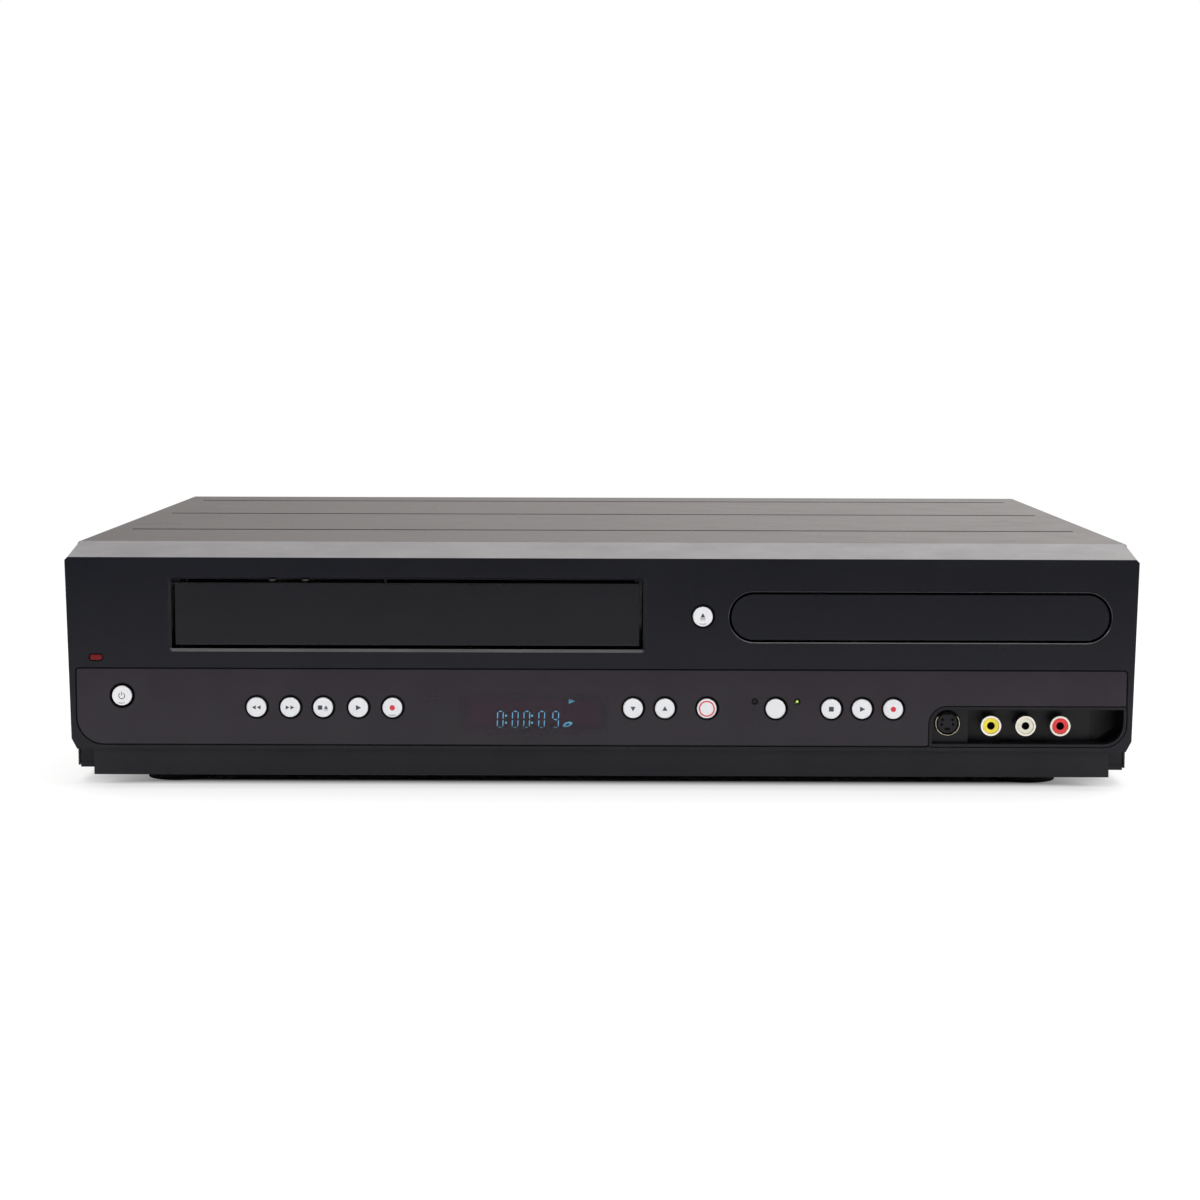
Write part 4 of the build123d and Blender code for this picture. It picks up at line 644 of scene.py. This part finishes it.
# %% Painted shade in the phono holes
insert_radius = 0.00325
shade_plug_profile = [(0, 0.0016), (0.0011, 0.0015), (0.0015, 0.0003), (0.00158, 0.00012), (0.00158, 0.0062),
                  (0, 0.0062)]
phono_shade_plugs = bmesh.new()
for node in inserts:
    insert_low, insert_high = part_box(node)
    spot = Vector((insert_high.x - insert_radius, insert_low.y, insert_high.z - insert_radius))
    lathe(phono_shade_plugs, spot, shade_plug_profile, 40)
place_piece("phono_hole_shades", phono_shade_plugs, near_black_shade, "case")
print(len(inserts), "phono_shade_plugs")

# %% [markdown]
# ## Hollow end of the recess
# At its right end the recess sweeps forward in a hollow curve, from its back wall almost to the face.
# The curve is a quarter of an ellipse, and the ramp's foot follows the round lower corner of the recess.

# %% Recess ramp
recess_low, recess_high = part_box("jack_recess")
sweep_steps, sweep_reach, sweep_depth = 14, 0.0125, 0.0072
back_y = face_y + 0.00901
corner = 0.0083
right_x = recess_high.x - 0.0013
low_z, high_z = recess_low.z + 0.0015, recess_high.z - 0.0015


def floor_height(x):
    """The recess floor, with its round lower right corner."""
    into = max(0.0, x - (right_x - corner))
    return low_z + corner - (corner ** 2 - min(into, corner) ** 2) ** 0.5


curve = [(right_x - sweep_reach + sweep_reach * sin(pi / 2 * i / sweep_steps),
          back_y - sweep_depth * (1 - cos(pi / 2 * i / sweep_steps))) for i in range(sweep_steps + 1)]
curve.append((right_x, back_y))
ramp = bmesh.new()
close_between(ramp, [ramp.verts.new((x, y, floor_height(x))) for x, y in curve],
              [ramp.verts.new((x, y, high_z)) for x, y in curve])
# The ramp is darker than the recess, and its specular level fades to nothing towards the right end: painted
# shade in the hollow.
ramp_painted_shade = finish("ramp_painted_shade", (0.0030, 0.0030, 0.0040), (0.34, 0.44), specular=0.24, grain=3600.0,
                    bump=0.000012, edge=0.0001)
ramp_tree = ramp_painted_shade.node_tree
ramp_x = along(ramp_tree, ramp_tree.nodes.new("ShaderNodeTexCoord").outputs["Object"], "X")
link(ramp_tree, spread(ramp_tree, ramp_x, 0.24, 0.0, right_x - sweep_reach, right_x - 0.002),
     ramp_tree.nodes["Principled BSDF"].inputs["Specular IOR Level"])
place_piece("recess_ramp", ramp, ramp_painted_shade, "case", smooth=False)
print("ramp from x", round(curve[0][0], 4), "to", round(right_x, 4))

# %% [markdown]
# ## The back
# Nobody sees the back in the photograph, so it gets only what such a back needs: cross-head screws that
# hold the sheet to the boards behind it, a bare rating plate, and printed frames round the sockets.

# %% Screws of the back
wall_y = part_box("rear_panel")[1].y
head_radius, head_height = 0.0028, 0.0012
cross_long, cross_wide = 2.4, 0.576  # in millimetres
head_profile = [(0, head_height), (head_radius * 0.55, head_height),
                (head_radius * 0.85, head_height * 0.75), (head_radius, head_height * 0.25),
                (head_radius, -0.0002), (0, -0.0002)]
screw_places = ((-0.205, 0.030), (-0.120, 0.024), (-0.074, 0.036), (0.026, 0.036), (0.082, 0.024),
                (0.150, 0.022), (0.207, 0.060), (-0.205, 0.070))
# The cross recesses of the screw heads, on the back and on the cover, are near-black plates: painted shade
# in the recesses.
heads, recess_shades = bmesh.new(), bmesh.new()
for x, z in screw_places:
    spot = Vector((x, wall_y, z))
    lathe(heads, spot, head_profile, 32)
    for wide, high in ((cross_long, cross_wide), (cross_wide, cross_long)):
        tile(recess_shades, spot + Vector((0, head_height - 0.00002, 0)), block(0, 0, wide, high), 0.00006)
place_piece("rear_screws", heads, zinc, "case")
screw_low, screw_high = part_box("cover_screws")
screw_z = (screw_low.z + screw_high.z) / 2
screw_radius = (screw_high.z - screw_low.z) / 2
for x in (screw_low.x + screw_radius, (screw_low.x + screw_high.x) / 2, screw_high.x - screw_radius):
    for wide, high in ((3.0, 0.7), (0.7, 3.0)):
        tile(recess_shades, Vector((x, screw_high.y - 0.00002, screw_z)), block(0, 0, wide, high), 0.00005)
place_piece("screw_recess_shades", recess_shades, near_black_shade, "case", smooth=False)
print(len(screw_places), "screws on y", round(wall_y, 5))

# %% Plate and frames of the back
plate_white = finish("plate_white", (0.52, 0.52, 0.50), (0.3, 0.4), metal=0.3, bump=0.000003, mottle=1.03)
plate_x, plate_z, plate_corner, corner_steps = 33, 14, 2, 6
plate_outline = []
for quarter, (side, end) in enumerate(((1, 1), (-1, 1), (-1, -1), (1, -1))):
    for i in range(corner_steps + 1):
        a = pi / 2 * (quarter + i / corner_steps)
        plate_outline.append((side * plate_x + plate_corner * cos(a), end * plate_z + plate_corner * sin(a)))
plate = bmesh.new()
tile(plate, Vector((-0.150, wall_y + 0.00012, 0.055)), plate_outline, -0.00014)
place_piece("rating_plate", plate, plate_white, "case", smooth=False)
line_width = 0.5
frames = bmesh.new()
for x, z, wide, high in ((-0.046, 0.024, 44, 15), (0.0, 0.024, 34, 15), (0.060, 0.024, 24, 13)):
    spot = Vector((x, wall_y + 0.00003, z))
    for side in (1, -1):
        tile(frames, spot, block(0, side * high / 2, wide, line_width), -0.00005)
        tile(frames, spot, block(side * wide / 2, 0, line_width, high), -0.00005)
place_piece("socket_frames", frames, slate_ink, "case", smooth=False)
print("plate", 2 * (plate_x + plate_corner), "by", 2 * (plate_z + plate_corner), "mm, and 3 frames")

# %% [markdown]
# ## Lens and lamps
# The power lens is a clear red light pipe, dark until its lamp is lit. One of the two source lamps is
# lit yellow-green, so it gets a small dome that gives off light.

# %% Lamps
def glowing(name, colour, strength, base=(0.02, 0.02, 0.02), roughness=0.3):
    """A material that gives off light of its own."""
    material = bpy.data.materials.new(name)
    material.use_nodes = True
    tree = material.node_tree
    shader = tree.nodes["Principled BSDF"]
    shader.inputs["Base Color"].default_value = (*base, 1)
    place = tree.nodes.new("ShaderNodeTexCoord")
    link(tree, spread(tree, noise(tree, place, 400.0), roughness - 0.05, roughness + 0.05),
         shader.inputs["Roughness"])
    shader.inputs["Emission Color"].default_value = (*colour, 1)
    shader.inputs["Emission Strength"].default_value = strength
    return material


# edge_lift below one darkens the lens's edges: painted shade at its outline.
lens_red = finish("lens_red", (0.150, 0.0065, 0.0085), (0.16, 0.26), specular=0.16, bump=0.000003,
                  edge=0.0006, edge_lift=0.5)
paint("power_lens", lens_red)
lamp_dark = finish("lamp_dark", (0.0022, 0.0020, 0.0024), (0.2, 0.3), specular=0.2, bump=0.000003)
paint("source_lamps", lamp_dark)
lamps_low, lamps_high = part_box("source_lamps")
lamp_radius = 0.00098
lamp_z = (lamps_low.z + lamps_high.z) / 2
lit_x, dark_x = lamps_high.x - lamp_radius, lamps_low.x + lamp_radius
dome = bmesh.new()
lathe(dome, Vector((lit_x, lamps_low.y, lamp_z)),
      [(0, -0.00002), (lamp_radius * 0.5, 0.0), (lamp_radius * 0.85, 0.00012), (lamp_radius, 0.0003),
       (lamp_radius, 0.0006), (0, 0.0006)], 32)
place_piece("lamp_lit", dome, glowing("lamp_glow", (0.42, 0.62, 0.06), 1.5), "case")
# The near-black rims round both lamps are painted shade in the gaps round them.
lamp_shade_rims = bmesh.new()
for x in (dark_x, lit_x):
    band(lamp_shade_rims, Vector((x, strip_front - 0.00003, lamp_z)), 1.2, 0.32, steps=32, thickness=0.00008)
place_piece("lamp_rim_shades", lamp_shade_rims, near_black_shade, "case", smooth=False)
print("lamps at x", round(dark_x, 4), "and", round(lit_x, 4))

# %% [markdown]
# ## Display
# The display is a vacuum tube: thin glowing segments behind the smoked window. Each digit leans a
# little. The segments are closed plates just in front of the tube, in millimetres in the shared frame.

# %% Display segments
segment_cyan = glowing("segment_cyan", (0.16, 0.72, 0.90), 4.6)
glass = Vector((0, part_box("display_tube")[0].y - 0.00005, 0))
leaning, thick, joint = 0.03, 0.43, 0.3
digit_foot, digit_width, digit_height = 25.4, 2.3, 6.6


def seven(mesh, x, lit):
    """One digit of lit segments, x is the left end of its foot."""
    width, height, half, tip = digit_width, digit_height, digit_height / 2, thick / 2
    strokes = {
        "a": ((thick, height), (width - thick, height)),
        "b": ((width, half + joint), (width, height - joint)),
        "c": ((width, joint), (width, half - joint)),
        "d": ((thick, 0), (width - thick, 0)),
        "e": ((0, joint), (0, half - joint)),
        "f": ((0, half + joint), (0, height - joint)),
        "g": ((thick, half), (width - thick, half)),
    }
    for stroke in lit:
        (x0, z0), (x1, z1) = strokes[stroke]
        if z0 == z1:
            spots = [(x0, z0), (x0 + tip, z0 + tip), (x1 - tip, z0 + tip), (x1, z0), (x1 - tip, z0 - tip),
                     (x0 + tip, z0 - tip)]
        else:
            spots = [(x0, z0), (x0 + tip, z0 + tip), (x0 + tip, z1 - tip), (x0, z1), (x0 - tip, z1 - tip),
                     (x0 - tip, z0 + tip)]
        tile(mesh, glass, [(x + a + leaning * b, digit_foot + b) for a, b in spots])


shapes = {"0": "abcdef", "9": "abcdfg"}
digits = ((-42.5, "0"), (-36.4, "0"), (-31.7, "0"), (-25.6, "0"), (-19.9, "9"))
glow = bmesh.new()
for x, digit in digits:
    seven(glow, x, shapes[digit])
for x in (-38.9, -28.3):
    for z in (27.3, 30.2):
        tile(glow, glass, block(x, z, 0.8, 0.8))
tile(glow, glass, [(-13.3, 35.2), (-10.6, 36.25), (-13.3, 37.3)])
# the disc sign is a ring that leans back and rises to the right
disc_x, disc_z, disc_inner, disc_outer, disc_steps = -13.75, 26.67, 0.85, 1.95, 28
for i in range(disc_steps):
    a, b = tau * i / disc_steps, tau * (i + 1) / disc_steps
    tile(glow, glass, [
        (disc_x + radius * cos(turn), disc_z + 0.5 * radius * sin(turn) + 0.26 * radius * cos(turn))
        for radius, turn in ((disc_inner, a), (disc_outer, a), (disc_outer, b), (disc_inner, b))])
place_piece("display_segments", glow, segment_cyan, "case", smooth=False)
print(len(digits), "digits lit")

# %% [markdown]
# ## Floor
# The photograph is a product shot on white paper. The camera sees the paper burnt out to white, with
# only a soft shadow near the case, so the paper is part lit sheet and part plain white. Under the case
# it shows only what light reaches it, which gives the dark line of contact.

# %% Floor
floor_front, floor_back, floor_half = -0.70, 5.0, 4.0
floor_mesh = bpy.data.meshes.new("sweep")
floor_mesh.from_pydata([(-floor_half, floor_front, 0), (floor_half, floor_front, 0),
                        (floor_half, floor_back, 0), (-floor_half, floor_back, 0)], [], [(0, 1, 2, 3)])
floor = bpy.data.objects.new("sweep", floor_mesh)
bpy.context.scene.collection.objects.link(floor)
paper = bpy.data.materials.new("paper")
paper.use_nodes = True
paper_tree = paper.node_tree
paper_shader = paper_tree.nodes["Principled BSDF"]
paper_shader.inputs["Base Color"].default_value = (0.92, 0.92, 0.92, 1)
paper_shader.inputs["Roughness"].default_value = 0.9
paper_shader.inputs["Specular IOR Level"].default_value = 0.0
ground = paper_tree.nodes.new("ShaderNodeTexCoord").outputs["Object"]
distance = paper_tree.nodes.new("ShaderNodeVectorMath")
distance.operation = "LENGTH"
link(paper_tree, ground, distance.inputs[0])
exposure = spread(paper_tree, distance.outputs["Value"], 0.72, 1.0, 0.35, 0.9)
aside = reckon(paper_tree, "ABSOLUTE", along(paper_tree, ground, "X"))
ahead = along(paper_tree, ground, "Y")
clear_of_side = spread(paper_tree, aside, 0.0, 1.0, 0.168, 0.226)
clear_of_front = spread(paper_tree, ahead, 1.0, 0.0, face_y + 0.011, face_y + 0.023)
clear_of_back = spread(paper_tree, ahead, 0.0, 1.0, face_y + 0.300, face_y + 0.330)
clear_of_ends = reckon(paper_tree, "MAXIMUM", clear_of_front, clear_of_back)
clear_of_case = reckon(paper_tree, "MAXIMUM", clear_of_side, clear_of_ends)
seen = paper_tree.nodes.new("ShaderNodeLightPath").outputs["Is Camera Ray"]
burnt = paper_tree.nodes.new("ShaderNodeEmission")
burnt.inputs["Color"].default_value = (1, 1, 1, 1)
sheet_of_paper = paper_tree.nodes.new("ShaderNodeMixShader")
burnt_share = reckon(paper_tree, "MULTIPLY", seen, reckon(paper_tree, "MULTIPLY", exposure, clear_of_case))
link(paper_tree, burnt_share, sheet_of_paper.inputs["Fac"])
link(paper_tree, paper_shader.outputs["BSDF"], sheet_of_paper.inputs[1])
link(paper_tree, burnt.outputs["Emission"], sheet_of_paper.inputs[2])
link(paper_tree, sheet_of_paper.outputs["Shader"], paper_tree.nodes["Material Output"].inputs["Surface"])
floor_mesh.materials.append(paper)
print("paper of", 2 * floor_half, "by", floor_back - floor_front, "m")

# %% [markdown]
# ## Room
# The room is bright above and behind the case and to its right, and darker on the camera's side. That is
# why the low-angled top shines and the upright front stays dark. The camera itself sees plain white.

# %% Room
studio = bpy.data.worlds.new("studio")
studio.use_nodes = True
bpy.context.scene.world = studio
air = studio.node_tree
direction = air.nodes.new("ShaderNodeTexCoord").outputs["Generated"]
depth_glow = spread(air, along(air, direction, "Y"), 0.12, 1.0, -0.30, 0.25)
horizon = spread(air, along(air, direction, "X"), 0.05, 0.76, -0.35, 0.35)
height_glow = spread(air, along(air, direction, "Z"), 0.0, 1.90, 0.12, 0.42)
link(air, horizon, height_glow.node.inputs["To Min"])
side_glow = spread(air, along(air, direction, "X"), 0.76, 1.24, -0.35, 0.35)
room = air.nodes["Background"]
room.inputs["Color"].default_value = (1, 0.968, 0.955, 1)
room_glow = reckon(air, "MULTIPLY", reckon(air, "MULTIPLY", depth_glow, height_glow), side_glow)
link(air, room_glow, room.inputs["Strength"])
white = air.nodes.new("ShaderNodeBackground")
white.inputs["Strength"].default_value = 1.0
white.inputs["Color"].default_value = (1, 1, 1, 1)
path = air.nodes.new("ShaderNodeLightPath")
choose = air.nodes.new("ShaderNodeMixShader")
link(air, path.outputs["Is Camera Ray"], choose.inputs["Fac"])
link(air, room.outputs["Background"], choose.inputs[1])
link(air, white.outputs["Background"], choose.inputs[2])
link(air, choose.outputs["Shader"], air.nodes["World Output"].inputs["Surface"])
print("room ready")

# %% [markdown]
# ## Lights
# One wide softbox hangs over the case, and two small ones stand in front to the left and right. They are
# area lights, because their size sets how soft the shadow and the gleams are.

# %% Lights
def softbox(name, place, aim, width, height, power):
    """A rectangular soft light at place, pointing at aim."""
    data = bpy.data.lights.new(name, "AREA")
    data.shape = "RECTANGLE"
    data.size, data.size_y = width, height
    data.energy = power
    lamp_object = bpy.data.objects.new(name, data)
    lamp_object.location = place
    lamp_object.rotation_mode = "QUATERNION"
    lamp_object.rotation_quaternion = (Vector(aim) - Vector(place)).to_track_quat("-Z", "Y")
    bpy.context.scene.collection.objects.link(lamp_object)
    return lamp_object


softbox("overhead", (0.0, 0.1, 1.6), (0, 0, 0), 2.4, 1.6, 26.0)
softbox("front_left", (-1.3, -1.3, 1.1), (0, -0.1, 0.05), 0.9, 0.7, 8.5)
softbox("front_right", (1.4, -1.2, 1.0), (0, -0.1, 0.05), 0.9, 0.7, 8.5)
print(len(bpy.data.lights), "softboxes")

# %% [markdown]
# ## Camera
# The camera stands a little above the case and looks down on it slightly, with a long lens, as such
# products are photographed. Its place and tilt were fitted to the edges of the case in the picture.

# %% Camera
camera_pan, camera_tilt, camera_roll = 0.0031, 0.1032, 0.0027
view = bpy.data.cameras.new("camera")
view.sensor_width = 36.0
view.lens = 76.18
view.clip_start = 0.05
view.dof.use_dof = False
camera = bpy.data.objects.new("camera", view)
camera.location = (0.00253, -1.18615, 0.1841)
camera.rotation_mode = "QUATERNION"
camera.rotation_quaternion = (Matrix.Rotation(camera_pan, 3, "Z")
                              @ Matrix.Rotation(pi / 2 - camera_tilt, 3, "X")
                              @ Matrix.Rotation(camera_roll, 3, "Z")).to_quaternion()
bpy.context.scene.collection.objects.link(camera)
bpy.context.scene.camera = camera
bpy.context.scene.view_settings.view_transform = "Standard"
bpy.context.scene.view_settings.look = "None"
print("camera at", tuple(camera.location))
